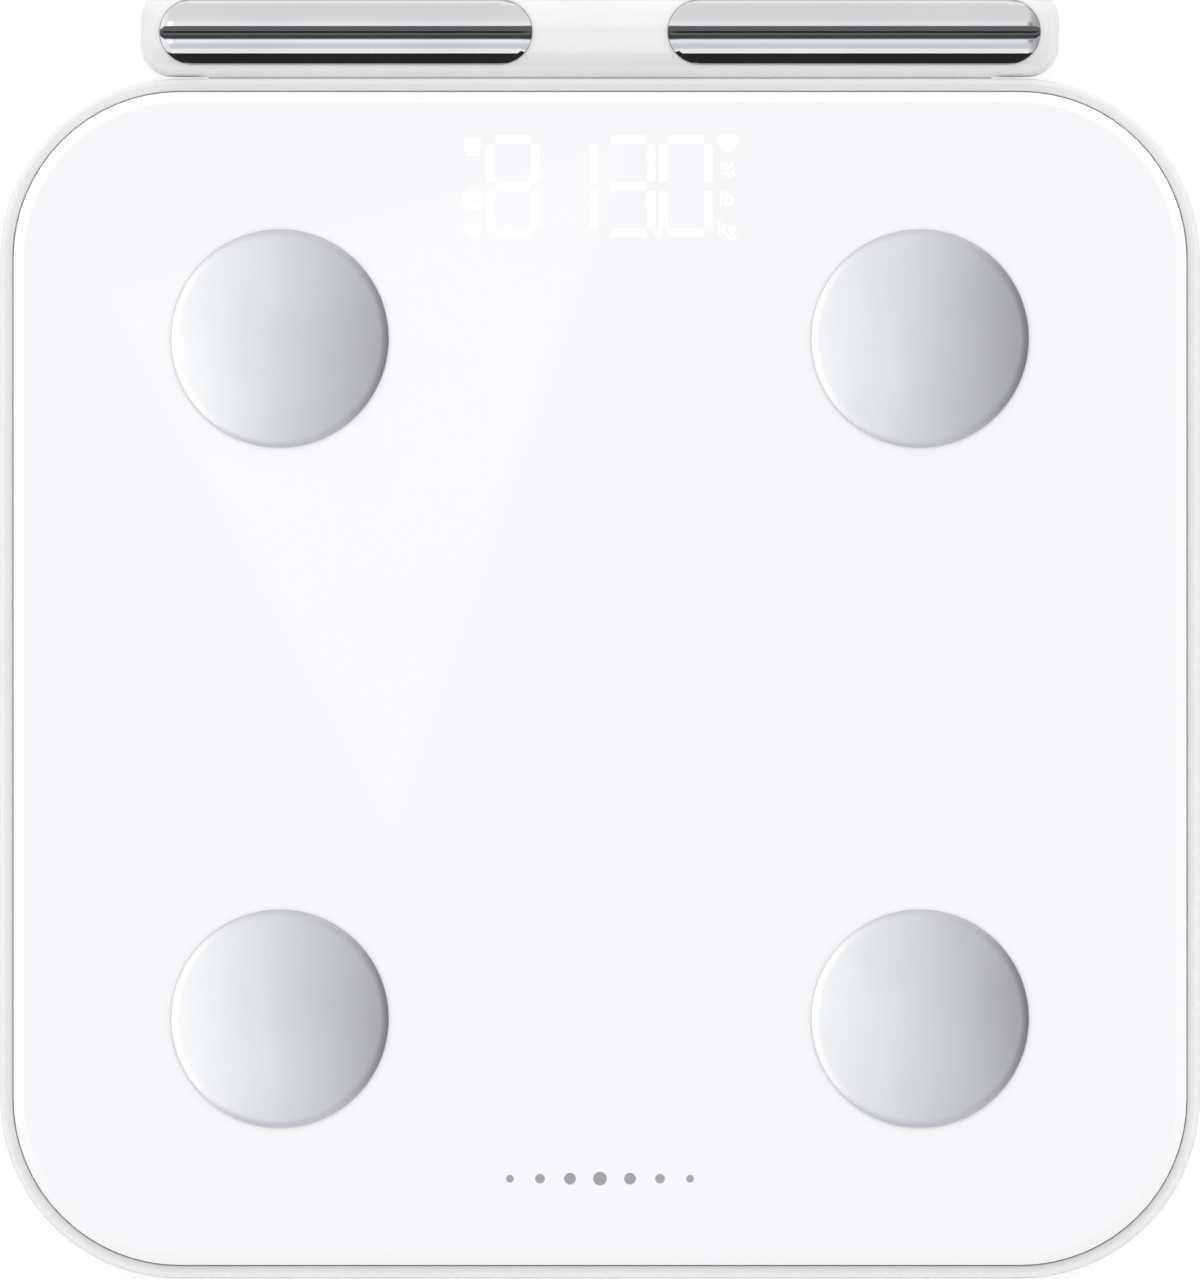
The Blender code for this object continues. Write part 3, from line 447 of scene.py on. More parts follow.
def clouds(tree, place_of, size, dark, light, spread=0.2, detail=2.0):
    """A colour that drifts between dark and light, in clouds of a size."""
    cloud = add_node(tree, "TexNoise", {"Vector": place_of, "Scale": 1 / size, "Detail": detail})
    tone = add_node(tree, "ValToRGB", {"Fac": cloud})
    set_ramp(tone, [(0.5 - spread, dark), (0.5 + spread, light)])
    return tone


def new_material(name):
    """A new material, its tree, its shader, and the place on the piece."""
    made = bpy.data.materials.new(name)
    made.use_nodes = True
    tree = made.node_tree
    return made, tree, tree.nodes["Principled BSDF"], add_node(tree, "TexCoord").outputs["Object"]


# Common name and making: colours of the light and dark cloud, or one of the colour settings and how
# much darker its dark cloud is; roughness, metallic, grain in mm, bump in mm, and stretch of the
# grain along each axis.
FINISHES = {
    # moulded ABS, polished tool: a bright clean skin that waves very faintly
    "gloss_abs": dict(
        setting="casing", dark=0.97, rough=(0.1, 0.16), grain=3.5, bump=0.004, coat=0.3, depth=2.5
    ),
    # moulded ABS, spark-eroded tool: a soft, even, finely pitted white
    "satin_abs": dict(setting="underside", dark=0.98, rough=(0.42, 0.55), grain=0.4, bump=0.012),
    # moulded grey ABS: darker, matt, with the same fine pits
    "grey_abs": dict(setting="grey", dark=0.95, rough=(0.4, 0.52), grain=0.4, bump=0.012),
    # nitrile rubber, moulded: nearly black, dry and matt
    "nitrile_rubber": dict(setting="rubber", dark=0.68, rough=(0.7, 0.85), grain=0.5, bump=0.03),
    # spun stainless steel, satin: soft, slightly cool, hair-fine marks along its length
    "satin_stainless": dict(
        colours=("E4E5E8", "DCDDE1"), rough=(0.13, 0.17), metallic=1, grain=0.6, bump=0.0004,
        stretch=(1, 14, 1),
    ),
    # chrome plate on ABS: a hard mirror
    "chrome_plate": dict(
        colours=("F2F3F5", "ECEDF0"), rough=(0.04, 0.06), metallic=1, grain=9, bump=0.0006
    ),
    # zinc-plated steel: pale and slightly mottled
    "zinc_plate": dict(colours=("C9CBCE", "B7B9BE"), rough=(0.25, 0.4), metallic=1, grain=1.2, bump=0.002),
    # hardened spring steel, rolled: dark, with long rolling marks
    "spring_steel": dict(
        colours=("9A9CA0", "84868B"), rough=(0.25, 0.38), metallic=1, grain=0.5, bump=0.002,
        stretch=(1, 9, 1),
    ),
    # brass, machined: warm yellow
    "brass": dict(colours=("D7B56D", "C29F57"), rough=(0.22, 0.35), metallic=1, grain=0.8, bump=0.002),
    # nickel plate on a pressed magnet: warm silver
    "nickel_plate": dict(
        colours=("CFCCC6", "BBB8B2"), rough=(0.15, 0.28), metallic=1, grain=1.5, bump=0.002
    ),
    # polyethylene foam: open-looking dark cells
    "foam": dict(colours=("48484B", "2C2C2E"), rough=(0.85, 0.95), grain=0.7, bump=0.15),
    # soft PVC, extruded: pale grey, smooth, a little waxy
    "cord_pvc": dict(colours=("CFCFD2", "C4C4C8"), rough=(0.38, 0.48), grain=1.5, bump=0.01),
    # opal acrylic, cast: milky white, quite flat
    "opal_acrylic": dict(colours=("F3F3F2", "EDEDEC"), rough=(0.3, 0.4), grain=4, bump=0.002),
    # woven glass board under green mask: the weave shows as a fine ripple
    "green_board": dict(colours=("1F6A3C", "17552F"), rough=(0.28, 0.4), grain=1.1, bump=0.01),
    # black ABS of the switch
    "black_abs": dict(colours=("242426", "1B1B1D"), rough=(0.35, 0.5), grain=0.5, bump=0.01),
    # shrink sleeve of a dry cell: glossy film on steel
    "cell_sleeve": dict(colours=("3F4A63", "384258"), rough=(0.18, 0.26), grain=6, bump=0.004, coat=0.4),
    # aluminium foil label, blank: silver, faintly crinkled
    "foil_label": dict(colours=("DCDDDF", "D6D7DA"), rough=(0.3, 0.42), metallic=0.35, grain=2, bump=0.003),
    # enamel ink printed on glass: flat grey with soft edges
    "grey_ink": dict(setting="mark", dark=0.86, rough=(0.2, 0.3), grain=0.5, bump=0.0),
}


def material(name):
    """The finish of this name, made on first use."""
    if name in bpy.data.materials:
        return bpy.data.materials[name]
    spec = FINISHES[name]
    made, tree, shader, place_of = new_material(name)
    if "setting" in spec:
        light = list(getattr(settings().colours, spec["setting"]))
        dark = [value * spec["dark"] for value in light]
    else:
        light, dark = [linear(value) for value in spec["colours"]]
    # Tone drifts over a few centimetres, as moulding and handling leave it
    tone = clouds(tree, place_of, 35 * MM, dark, light, spread=0.15, detail=3.0)
    stretch = [1 / value for value in spec.get("stretch", (1, 1, 1))]
    mapped = add_node(tree, "Mapping", {"Vector": place_of, "Scale": stretch})
    grain = add_node(tree, "TexNoise", {"Vector": mapped, "Scale": 1 / (spec["grain"] * MM)})
    low, high = spec["rough"]
    rough = add_node(tree, "MapRange", {"Value": grain, "To Min": low, "To Max": high})
    feed(tree, shader, {"Base Color": tone, "Roughness": rough})
    if spec["bump"]:
        bump = add_node(tree, "Bump", {"Height": grain, "Distance": spec["bump"] * MM, "Strength": 1.0})
        feed(tree, shader, {"Normal": bump})
    feed(tree, shader, {"Metallic": spec.get("metallic", 0), "Coat Weight": spec.get("coat", 0)})
    if "depth" in spec:
        # Light spreads under the skin of an opaque plastic and fills narrow gaps
        depth = {"Subsurface Radius": (1, 1, 1), "Subsurface Scale": spec["depth"] * MM}
        feed(tree, shader, {"Subsurface Weight": 0.5, **depth})
    if not spec.get("metallic"):
        feed(tree, shader, {"IOR": 1.5})
    return made


def printed_glass(name, back, edge=False):
    """Soda-lime glass with white enamel behind it: deep, even white under a hard clear surface."""
    made, tree, shader, place_of = new_material(name)
    # The bevel and other edge faces get a lighter white than the print, a painted highlight
    if edge:
        back = linear("F8F8FA")
    # Screen-printed enamel is denser and thinner in soft patches a few centimetres across
    tone = clouds(tree, place_of, 60 * MM, [value * 0.995 for value in back], list(back))
    # Float glass is flat to microns: the ripple only shows in a reflection's edge
    ripple = add_node(tree, "TexNoise", {"Vector": place_of, "Scale": 1 / (80 * MM)})
    bump = add_node(tree, "Bump", {"Height": ripple, "Distance": 0.01 * MM, "Strength": 0.4})
    feed(tree, shader, {"Base Color": tone, "Normal": bump, "Roughness": 0.06 if edge else 0.03})
    feed(tree, shader, {"IOR": 1.52, "Coat Weight": 0.2, "Coat Roughness": 0.02})
    if edge:
        # Painted glow: the bevel and other edge faces give off a faint light of their own, painted light
        # that brightens them, though the glass holds no lamp
        feed(tree, shader, {"Emission Color": (1, 1, 1, 1), "Emission Strength": 0.042})
    return made


def lit_sign():
    """Light-emitting diodes behind enamel: a soft white glow, a little brighter in its middle."""
    made, tree, shader, place_of = new_material("lit_sign")
    glow = clouds(tree, place_of, 5 * MM, linear("F4F4F6"), linear("FFFFFF"))
    feed(tree, shader, {"Base Color": glow, "Emission Color": glow})
    feed(tree, shader, {"Emission Strength": 0.25, "Roughness": 0.12})
    return made


# ---------------------------------------------------------------- the stage


def camera_above(stage):
    """A long lens straight above, framing the platform's width exactly."""
    picture_wide, picture_tall, behind_middle = 1200, 1279, 9.75 * MM
    data = bpy.data.cameras.new("camera")
    data.lens = stage.lens
    data.sensor_width = 36
    tall = 2 * settings().platform.half * picture_tall / picture_wide
    distance = tall * data.lens / data.sensor_width
    made = bpy.data.objects.new("camera", data)
    bpy.context.collection.objects.link(made)
    made.location = (0, PLATFORM.y + behind_middle, RIM_HIGH.z + distance)
    data.clip_end = 40
    bpy.context.scene.camera = made


# What a mirror sees at each tilt towards the rear, in degrees: the tent's panels
PANELS = [
    (-90, (0.45,) * 3),
    (-60, (0.7,) * 3),
    (-36, (1.0,) * 3),
    (-24, (0.93,) * 3),
    (-20, (0.62, 0.64, 0.69)),
    (-9, (0.68, 0.7, 0.76)),
    (-6, (0.86, 0.88, 0.95)),
    (8, (0.8,) * 3),
    (20, (0.76,) * 3),
    (54, (0.75, 0.75, 0.73)),
    (58, (0.92, 0.92, 0.9)),
    (70, (0.92, 0.92, 0.9)),
    (74, (0.54, 0.54, 0.53)),
    (90, (0.5, 0.5, 0.49)),
]


def sky(stage):
    """A soft studio: even light for matt surfaces, and tent panels for what polished ones reflect."""
    world = bpy.data.worlds.new("studio")
    bpy.context.scene.world = world
    world.use_nodes = True
    tree = world.node_tree
    tree.nodes.clear()
    way = add_node(tree, "TexCoord").outputs["Generated"]
    x, y, z = add_node(tree, "SeparateXYZ", {0: way}).outputs
    tilt = add_node(tree, "Math", {0: y, 1: z}, operation="ARCTAN2")
    aside, along = (add_node(tree, "Math", {0: axis}, operation="ABSOLUTE") for axis in (x, y))
    light = stage.light
    # Each goes from one number to another as a value goes between two limits
    changes = {
        "tilt": (tilt, -PI / 2, PI / 2, 0.0, 1.0),
        # The side walls, and how far a direction points at them
        "walls": (x, -0.5, 0.5, 0.95, 0.4),
        "sideways": (aside, 0.12, 0.3, 0.0, 1.0),
        # Overhead, the tent fades from bright on the left to grey on the right
        "fade": (x, -0.3, 0.3, 1.74, 0.05),
        "upward": (z, 0.93, 0.965, 0.0, 1.0),
        "central": (along, 0.24, 0.16, 0.0, 1.0),
        # Under the object the tent darkens towards the ground
        "ground": (z, -1.0, 0.0, 0.12, 0.8),
        "downward": (z, 0.0, -0.1, 0.0, 1.0),
        # Matt surfaces are lit a little more from the rear, and less from below
        "rear": (y, -1.0, 1.0, 0.6, 1.4),
        "above": (z, -0.1, 0.05, 0.55 * light, light),
    }
    at = {}
    for name, (value, low, high, start, end) in changes.items():
        limits = {"From Min": low, "From Max": high, "To Min": start, "To Max": end}
        at[name] = add_node(tree, "MapRange", {"Value": value, **limits})
    panels = add_node(tree, "ValToRGB", {"Fac": at["tilt"]})
    set_ramp(panels, [((tilt_deg + 90) / 180, value) for tilt_deg, value in PANELS])
    overhead = add_node(tree, "Math", {0: at["upward"], 1: at["central"]}, operation="MULTIPLY")
    seen = panels.outputs["Color"]
    shares = ((at["sideways"], at["walls"]), (overhead, at["fade"]), (at["downward"], at["ground"]))
    for share, value in shares:
        seen = add_node(tree, "Mix", {0: share, 6: seen, 7: value}, data_type="RGBA").outputs[2]
    soft = add_node(tree, "Math", {0: at["rear"], 1: at["above"]}, operation="MULTIPLY")
    even, tent, plain = (
        add_node(tree, "Background", {"Color": tint, "Strength": strength})
        for tint, strength in (((1, 1, 1, 1), soft), (seen, 1.0), ((0.93, 0.93, 0.94, 1), 1.0))
    )
    rays = add_node(tree, "LightPath").outputs
    glossy = add_node(tree, "MixShader", {0: rays["Is Glossy Ray"], 1: even, 2: tent})
    shown = add_node(tree, "MixShader", {0: rays["Is Camera Ray"], 1: glossy, 2: plain})
    add_node(tree, "OutputWorld", {"Surface": shown})


def glow_only(made, name, strength, clear=False, one_sided=False):
    """Gives a stage piece an even glow that only reflections see: over what is behind it, if clear."""
    made.name = name
    glow = bpy.data.materials.new(name)
    glow.use_nodes = True
    tree = glow.node_tree
    tree.nodes.clear()
    light = add_node(tree, "Emission", {"Color": (1, 1, 1, 1), "Strength": strength})
    film = add_node(tree, "BsdfTransparent")
    if clear:
        light = add_node(tree, "AddShader", {0: light, 1: film})
    if one_sided:
        behind = add_node(tree, "NewGeometry").outputs["Backfacing"]
        light = add_node(tree, "MixShader", {0: behind, 1: light, 2: film})
    add_node(tree, "OutputMaterial", {"Surface": light})
    made.data.materials.append(glow)
    made.visible_camera = made.visible_diffuse = made.visible_shadow = False
    made.visible_transmission = made.visible_volume_scatter = False
    return made


def card(name, low, high, height, strength, clear=False):
    """A level studio card between two corners in millimetres, at a height."""
    begin()
    low, high = Vector(low) * MM, Vector(high) * MM
    bpy.ops.mesh.primitive_plane_add(size=1, location=(*((low + high) / 2), height))
    made = bpy.context.object
    made.scale = (*(high - low), 1)
    return glow_only(place(made), name, strength, clear)


def pale_floor(stage):
    """The floor, one-sided, so that the scale can be seen from below."""
    begin()
    bpy.ops.mesh.primitive_plane_add(size=40, location=(0, 0, 0))
    floor = bpy.context.object
    floor.name = "floor"
    made, tree, shader, place_of = new_material("pale_floor")
    # Painted board, with tones that drift over a third of a metre
    pale = list(stage.floor)
    tone = clouds(tree, place_of, 1 / 3, [value * 0.99 for value in pale], pale)
    feed(tree, shader, {"Base Color": tone, "Roughness": 0.9})
    feed(tree, shader, {"Emission Color": (1, 1, 1, 1), "Emission Strength": 0.32})
    behind = add_node(tree, "NewGeometry").outputs["Backfacing"]
    sides = add_node(tree, "MixShader", {0: behind, 1: shader, 2: add_node(tree, "BsdfTransparent")})
    feed(tree, tree.nodes["Material Output"], {"Surface": sides})
    floor.data.materials.append(made)
    floor.visible_diffuse = False


def bar_cards():
    """What the bar's chrome reflects: dark strips over it, and a black flag in front of it."""
    half, over_bar = BAR_HIGH.x / MM + 30, 16 * MM
    y = BAR.y / MM
    strips = [(0.6, 3.1, 0.12), (-0.4, 0.6, 0.02), (-1.3, -0.4, 0.13), (-3.3, -1.3, 0.05)]
    strips.append((-3.9, -3.3, 0.5))
    for index, (low, high, strength) in enumerate(strips, start=1):
        ends = (-half, y + low), (half, y + high)
        card(f"dark_strip_{index}", *ends, BAR_HIGH.z + over_bar, strength)
    begin()
    flag_low, flag_high, flag_ahead = 1 * MM, 22.5 * MM, 20 * MM
    where = (0, BAR.y - flag_ahead, BAR_HIGH.z + (flag_low + flag_high) / 2)
    bpy.ops.mesh.primitive_plane_add(size=1, location=where, rotation=(-PI / 2, 0, 0))
    flag = bpy.context.object
    flag.scale = (2 * half * MM, flag_high - flag_low, 1)
    glow_only(place(flag), "front_flag", 0.02, one_sided=True)


def wedge_card():
    """A clear card high up, drawn in to a point at the front, that only the glass shows."""
    height, front, point_x, slant = 0.9, -54, -57, 43
    wedge = card("wedge_card", (-135, front), (9, 136), height, 0.55, clear=True)
    wedge.light_linking.receiver_collection = bpy.data.collections.new("glass_only")
    only(wedge)
    go("EDIT")
    pick("verts", lambda vert: vert.co.y < 0)
    bpy.ops.transform.resize(value=(0.01, 1, 1), center_override=(point_x * MM, front * MM, height))
    pick("verts", lambda vert: vert.co.y > 0 and vert.co.x < 0)
    bpy.ops.transform.translate(value=(0, -slant * MM, 0))
    go("OBJECT")


def gap_light():
    """A thin light down in the gap between platform and bar, which stays pale in soft light."""
    half, thick, foot, head = 99, 0.06, 14, 23.4
    behind_rim = RIM_HIGH.y / MM + 0.15
    fill = block((-half, behind_rim, foot), (half, behind_rim + thick, head))
    glow_only(fill, "gap_light", 0.75)
    fill.visible_diffuse, fill.visible_glossy = True, False


class SCALE_OT_stage(bpy.types.Operator):
    """Set the floor, the soft light, the studio cards and the camera"""

    bl_idname = "scale.stage"
    bl_label = "Stage"

    def execute(self, context):
        stage = settings().stage
        view = context.scene.view_settings
        view.view_transform, view.look = "Standard", "None"
        camera_above(stage)
        sky(stage)
        pale_floor(stage)
        bar_cards()
        wedge_card()
        gap_light()
        return {"FINISHED"}


# ---------------------------------------------------------------- the platform


class SCALE_OT_glass(bpy.types.Operator):
    """Model the white glass plate with its polished bevel"""

    bl_idname = "scale.glass"
    bl_label = "Glass plate"

    def execute(self, context):
        p = settings().platform
        shoulder = GLASS_HIGH.z - p.bevel_height
        platform_plate(p.glass_inset, shoulder)
        arris, chamfer = 0.12 * MM, 0.4 * MM
        step(arris, arris)
        step(p.bevel_width - 2 * arris, p.bevel_height - 1.3 * arris)
        step(arris, 0.3 * arris)
        half = p.half - p.glass_inset
        foot = GLASS_LOW.z + chamfer
        skirt(shoulder, shoulder - foot, 0, half)
        skirt(foot, chamfer, chamfer, half)
        pick("edges", lambda edge: edge.is_boundary)
        bpy.ops.mesh.edge_face_add()
        plate = shape()
        stem_hole, under, over = 2.6, 20, 28
        for corner in CORNERS:
            stem = middle("foot_electrode_" + corner)
            combine(plate, rod(stem_hole, under, over, stem, 32))
        coat = settings().colours.print_coat
        face = printed_glass("white_printed_glass", coat)
        edge = printed_glass("polished_glass_edge", coat, edge=True)
        finish(plate, "glass_panel", "base", [face, edge], "glass_plate", angle=12)
        # Only the glass shows the wedge card
        bpy.data.objects["wedge_card"].light_linking.receiver_collection.objects.link(plate)
        for polygon in plate.data.polygons:
            polygon.material_index = 0 if polygon.normal.z > 0.98 else 1
        return {"FINISHED"}


class SCALE_OT_rim(bpy.types.Operator):
    """Model the rim round the glass, with its ledge and screw bosses"""

    bl_idname = "scale.rim"
    bl_label = "Rim frame"

    def execute(self, context):
        p = settings().platform
        rounding_wide, rounding_tall = 0.55 * MM, 0.85 * MM
        shoulder = RIM_HIGH.z - rounding_tall
        platform_plate(0, shoulder, segments=24)
        turns = [PI / 8 * index for index in range(5)]
        for here, there in zip(turns, turns[1:]):
            inward = rounding_wide * (math.cos(here) - math.cos(there))
            step(inward, rounding_tall * (math.sin(there) - math.sin(here)))
        crest, crease, slope, lip = 0.65 * MM, (0.2 * MM, 0.04 * MM), 1.6 * MM, (0.15 * MM, 0.25 * MM)
        ledge_top, ledge_wide = 20.3 * MM, 9 * MM
        step(crest, 0)
        step(crease[0], -crease[1])
        step(slope, -p.rim_fall)
        step(lip[0], -lip[1])
        step(0, ledge_top - (RIM_HIGH.z - p.rim_fall - crease[1] - lip[1]))
        step(ledge_wide, 0)
        bpy.ops.mesh.delete(type="FACE")
        low, turn_in = 15.3 * MM, (1.2 * MM, 0.6 * MM)
        skirt(shoulder, shoulder - (low + turn_in[0]), 0, p.half)
        skirt(low + turn_in[0], *turn_in, p.half)
        go("OBJECT")
        rim = context.object
        wall_thick = 1.2 * MM
        modify(rim, "SOLIDIFY", thickness=wall_thick, offset=-1, use_even_offset=True)
        bore, wall, foot, head = 1.6, 3.5, 10.7, 19.4
        boss = turned([(bore, foot), (wall, foot), (wall, head), (bore, head)], 24, ring=True)
        bosses = [copy_of(boss, (x, y, 0)) for x, y in rim_screws()]
        bpy.data.objects.remove(boss)
        rim = join([rim, *bosses])
        finish(rim, "rim", "base", ["gloss_abs"], "rim_frame", angle=25)
        return {"FINISHED"}


def rim_screws():
    """The eight places where screws hold the rim to the tray."""
    far, near = 137 * MM, 60 * MM
    reaches = ((far, near), (near, far))
    return [(x * wide, PLATFORM.y + y * deep) for wide, deep in reaches for x, y in CORNERS.values()]


class SCALE_OT_tray(bpy.types.Operator):
    """Model the base tray with its battery bay, cradle, wells and label"""

    bl_idname = "scale.tray"
    bl_label = "Base tray"

    def execute(self, context):
        y = PLATFORM.y / MM
        inside_rim, top, wall = 0.8 * MM, 15 * MM, 2.5 * MM
        platform_plate(inside_rim, top)
        # The wall curves in towards the flat underneath
        for inward, down in ((0.3, 2.5), (0.5, 2.5), (0.9, 1.6), (1.5, 1.2), (2.0, 0.8), (3.0, 0.4)):
            step(inward * MM, -down * MM)
        bpy.ops.mesh.select_all(action="SELECT")
        bpy.ops.mesh.flip_normals()
        go("OBJECT")
        tray = context.object
        modify(tray, "SOLIDIFY", thickness=wall, offset=-1, use_even_offset=True)
        bay_y = y - 35
        bay_walls = block((-27.8, bay_y - 24.8, 8.0), (27.8, bay_y + 24.8, 21.0), 0.6)
        combine(tray, bay_walls, "UNION")
        cradle = block((-98, y + 146, 4.8), (98, y + 168, 12.5), 1.0)
        cradle_root = block((-96.5, y + 120, 4.81), (96.5, y + 150, 8.2))
        combine(cradle, cradle_root, "UNION")
        room_for_bar = 0.7 * MM
        combine(cradle, bar_body(room_for_bar))
        combine(tray, cradle, "UNION")
        combine(tray, join([rod(5, 8, 10.4, screw) for screw in rim_screws()]), "UNION")
        bore = [(0, 4), (3.2, 4), (3.2, 8.2), (1.8, 8.2), (1.8, 12), (0, 12)]
        holes = [turned(bore, 24, screw) for screw in rim_screws()]
        for corner in CORNERS:
            centre = middle("foot_pad_" + corner)[:2]
            holes.append(rod(9, 4, 10.2, centre, 40))
            holes.append(turned([(18.6, 4), (19.4, 4), (19.4, 6.5), (18.6, 6.5)], 64, centre, True))
        button_hole = rod(4.4, 4, 10, middle("unit_button"), 32)
        label_recess = block((-36, 28, 4), (36, 60, 6.25), 2, upright_only=True)
        holes += [button_hole, label_recess]
        for side in ("left", "right"):
            x, middle_y, _ = middle("dock_magnet_" + side) / MM
            holes.append(block((x - 10.4, middle_y - 3.9, 4), (x + 10.4, middle_y + 3.9, 7.7)))
        cord_hole = rod(4.1, 7.9, 14, BAR, 32)
        cord_groove = block((-1.8, y + 134, 5.9), (1.8, BAR.y / MM - 5, 7.8))
        combine(tray, join([*holes, cord_hole, cord_groove]))
        bay = block((-26, bay_y - 23, 7), (26, bay_y + 23, 19.5), 0.8, upright_only=True)
        combine(tray, bay)
        opening = block((-28, bay_y - 25, 4), (28, bay_y + 25, 8.2), 0.5, upright_only=True)
        combine(tray, opening)
        finish(tray, "tray", "base", ["satin_abs"], "base_tray", angle=30)
        label = block((-35, 29, 6.0), (35, 59, 6.22), 1.5, upright_only=True)
        finish(label, "blank_label", "base", ["foil_label"])
        return {"FINISHED"}


class SCALE_OT_foot_electrodes(bpy.types.Operator):
    """Model the four domed steel foot electrodes"""

    bl_idname = "scale.foot_electrodes"
    bl_label = "Foot electrodes"

    def execute(self, context):
        low, high = (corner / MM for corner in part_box("foot_electrode_front_left"))
        radius, crown = (high.x - low.x) / 2, high.z
        dome = settings().platform.disc_dome / MM
        seat, stem = GLASS_HIGH.z / MM + 0.05, 2
        lip = radius - 0.25
        profile = [(0, low.z), (stem, low.z), (stem, seat), (lip, seat), (radius, seat + 0.15)]
        profile += [(radius - 0.02, crown - dome - 0.12), (radius - 0.1, crown - dome - 0.03)]
        rings = 14
        for index in range(rings + 1):
            ring = lip * (1 - index / rings)
            profile.append((ring, crown - dome * (ring / lip) ** 2))
        disc = turned(profile, 96)
        for corner in CORNERS:
            where = middle("foot_electrode_" + corner)
            made = copy_of(disc, (where.x, where.y, 0))
            name, node, steel = "foot_disc_" + corner, "foot_electrode_" + corner, ["satin_stainless"]
            finish(made, name, "base", steel, node, angle=20)
        bpy.data.objects.remove(disc)
        return {"FINISHED"}


class SCALE_OT_feet(bpy.types.Operator):
    """Model the four rubber feet and their housings"""

    bl_idname = "scale.feet"
    bl_label = "Feet"

    def execute(self, context):
        profile = [(0, 0.35), (4, 0.35), (4.4, 0), (6.6, 0), (7, 0.35), (8.2, 0.35), (8.6, 0)]
        profile += [(10.8, 0), (11.2, 0.35), (12.4, 0.35), (12.8, 0), (14.6, 0), (15.2, 0.3)]
        profile += [(15.5, 0.9), (15.5, 2.2), (15.2, 2.6), (0, 2.6)]
        pad = turned(profile, 64)
        profile = [(0, 2.9), (15.8, 2.9), (16.6, 3.05), (17, 3.5), (17, 4.4), (16.7, 5.0), (16.1, 5.2)]
        profile += [(9.4, 5.2), (8.4, 5.6), (8.2, 6.2), (8.2, 10.4), (0, 10.4)]
        housing = turned(profile, 64)
        for corner in CORNERS:
            x, y, _ = middle("foot_pad_" + corner)
            made = copy_of(pad, (x, y, 0))
            name, node = "rubber_pad_" + corner, "foot_pad_" + corner
            finish(made, name, "base", ["nitrile_rubber"], node)
            made = copy_of(housing, (x, y, 0))
            name, node = "housing_" + corner, "foot_housing_" + corner
            finish(made, name, "base", ["grey_abs"], node)
        bpy.data.objects.remove(pad)
        bpy.data.objects.remove(housing)
        return {"FINISHED"}


# ---------------------------------------------------------------- underneath


class SCALE_OT_battery_door(bpy.types.Operator):
    """Model the battery door with its grip, catch and hinge pins"""

    bl_idname = "scale.battery_door"
    bl_label = "Battery door"

    def execute(self, context):
        low, high = (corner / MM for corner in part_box("battery_door"))
        half, top = 27.7, 7.9
        pin_radius, pin_long = 0.7 * MM, 2.4 * MM
        hinge_y, hinge_z = high.y - 0.9, 7.0
        door = block((-half, low.y, low.z), (half, high.y, top), 0.35)
        grip = block((-13, low.y + 5, 5), (13, low.y + 15, 6.75), 1.6, upright_only=True)
        combine(door, grip)
        for row in range(3):
            front = low.y + 6.6 + 2.4 * row
            combine(door, block((-11, front, 6.2), (11, front + 1, 7.2), 0.2), "UNION")
        tongue = block((-6, low.y + 2.5, 7.2), (6, low.y + 3.9, 11.2), 0.3)
        combine(door, tongue, "UNION")
        for side in (-1, 1):
            begin()
            bpy.ops.mesh.primitive_cylinder_add(
                vertices=24,
                radius=pin_radius,
                depth=pin_long,
                location=Vector((side * (half + 0.2), hinge_y, hinge_z)) * MM,
                rotation=(0, PI / 2, 0),
            )
            place(context.object)
            go("EDIT")
            pick("faces", lambda face: abs(face.normal.x) > 0.9)
            bpy.ops.mesh.inset(thickness=0.15 * MM, depth=0.12 * MM)
            combine(door, shape(), "UNION")
        finish(door, "door", "battery_door", ["satin_abs"], "battery_door")
        return {"FINISHED"}


class SCALE_OT_cells(bpy.types.Operator):
    """Model the four dry cells in the bay"""

    bl_idname = "scale.cells"
    bl_label = "Cells"

    def execute(self, context):
        for index in range(1, 5):
            node = f"battery_{index}"
            low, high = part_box(node)
            centre = (low + high) / 2
            long, radius = (high.x - low.x) / MM, (high.z - low.z) / 2 / MM - 0.05
            nub, way = 1.0, (-1) ** (index - 1)  # every other cell points the other way
            profile = [(0, 0.15), (3.6, 0.15), (3.9, 0), (4.6, 0), (radius - 0.1, 0.2), (radius, 0.6)]
            profile += [(radius, long - nub - 0.5), (radius - 0.3, long - nub), (2.2, long - nub)]
            profile += [(1.9, long - nub + 0.2), (1.9, long - 0.15), (1.7, long), (0, long)]
            cell = turned(profile, 48)
            cell.rotation_euler = (0, PI / 2 * way, 0)
            cell.location = (centre.x - way * long * MM / 2, centre.y, centre.z)
            place(cell)
            coats = ["cell_sleeve", "nickel_plate"]
            made = finish(cell, f"cell_{index}", "base", coats, node)
            for polygon in made.data.polygons:
                flat = abs(polygon.normal.x) > 0.7
                near = (polygon.center.yz - centre.yz).length < 2.3 * MM
                polygon.material_index = 1 if flat or near else 0
        return {"FINISHED"}


class SCALE_OT_unit_button(bpy.types.Operator):
    """Model the unit button, with its dished face"""

    bl_idname = "scale.unit_button"
    bl_label = "Unit button"

    def execute(self, context):
        where = middle("unit_button")
        profile = [(0, 6.45), (1.5, 6.42), (2.6, 6.3), (3.3, 6.2), (3.7, 6.3), (4.0, 6.6), (4.0, 8.8)]
        profile += [(5.4, 8.8), (5.4, 9.3), (1.5, 9.3), (1.5, 9.7), (0, 9.7)]
        made = turned(profile, 48, (where.x, where.y))
        finish(made, "button", "unit_button", ["grey_abs"], "unit_button")
        return {"FINISHED"}


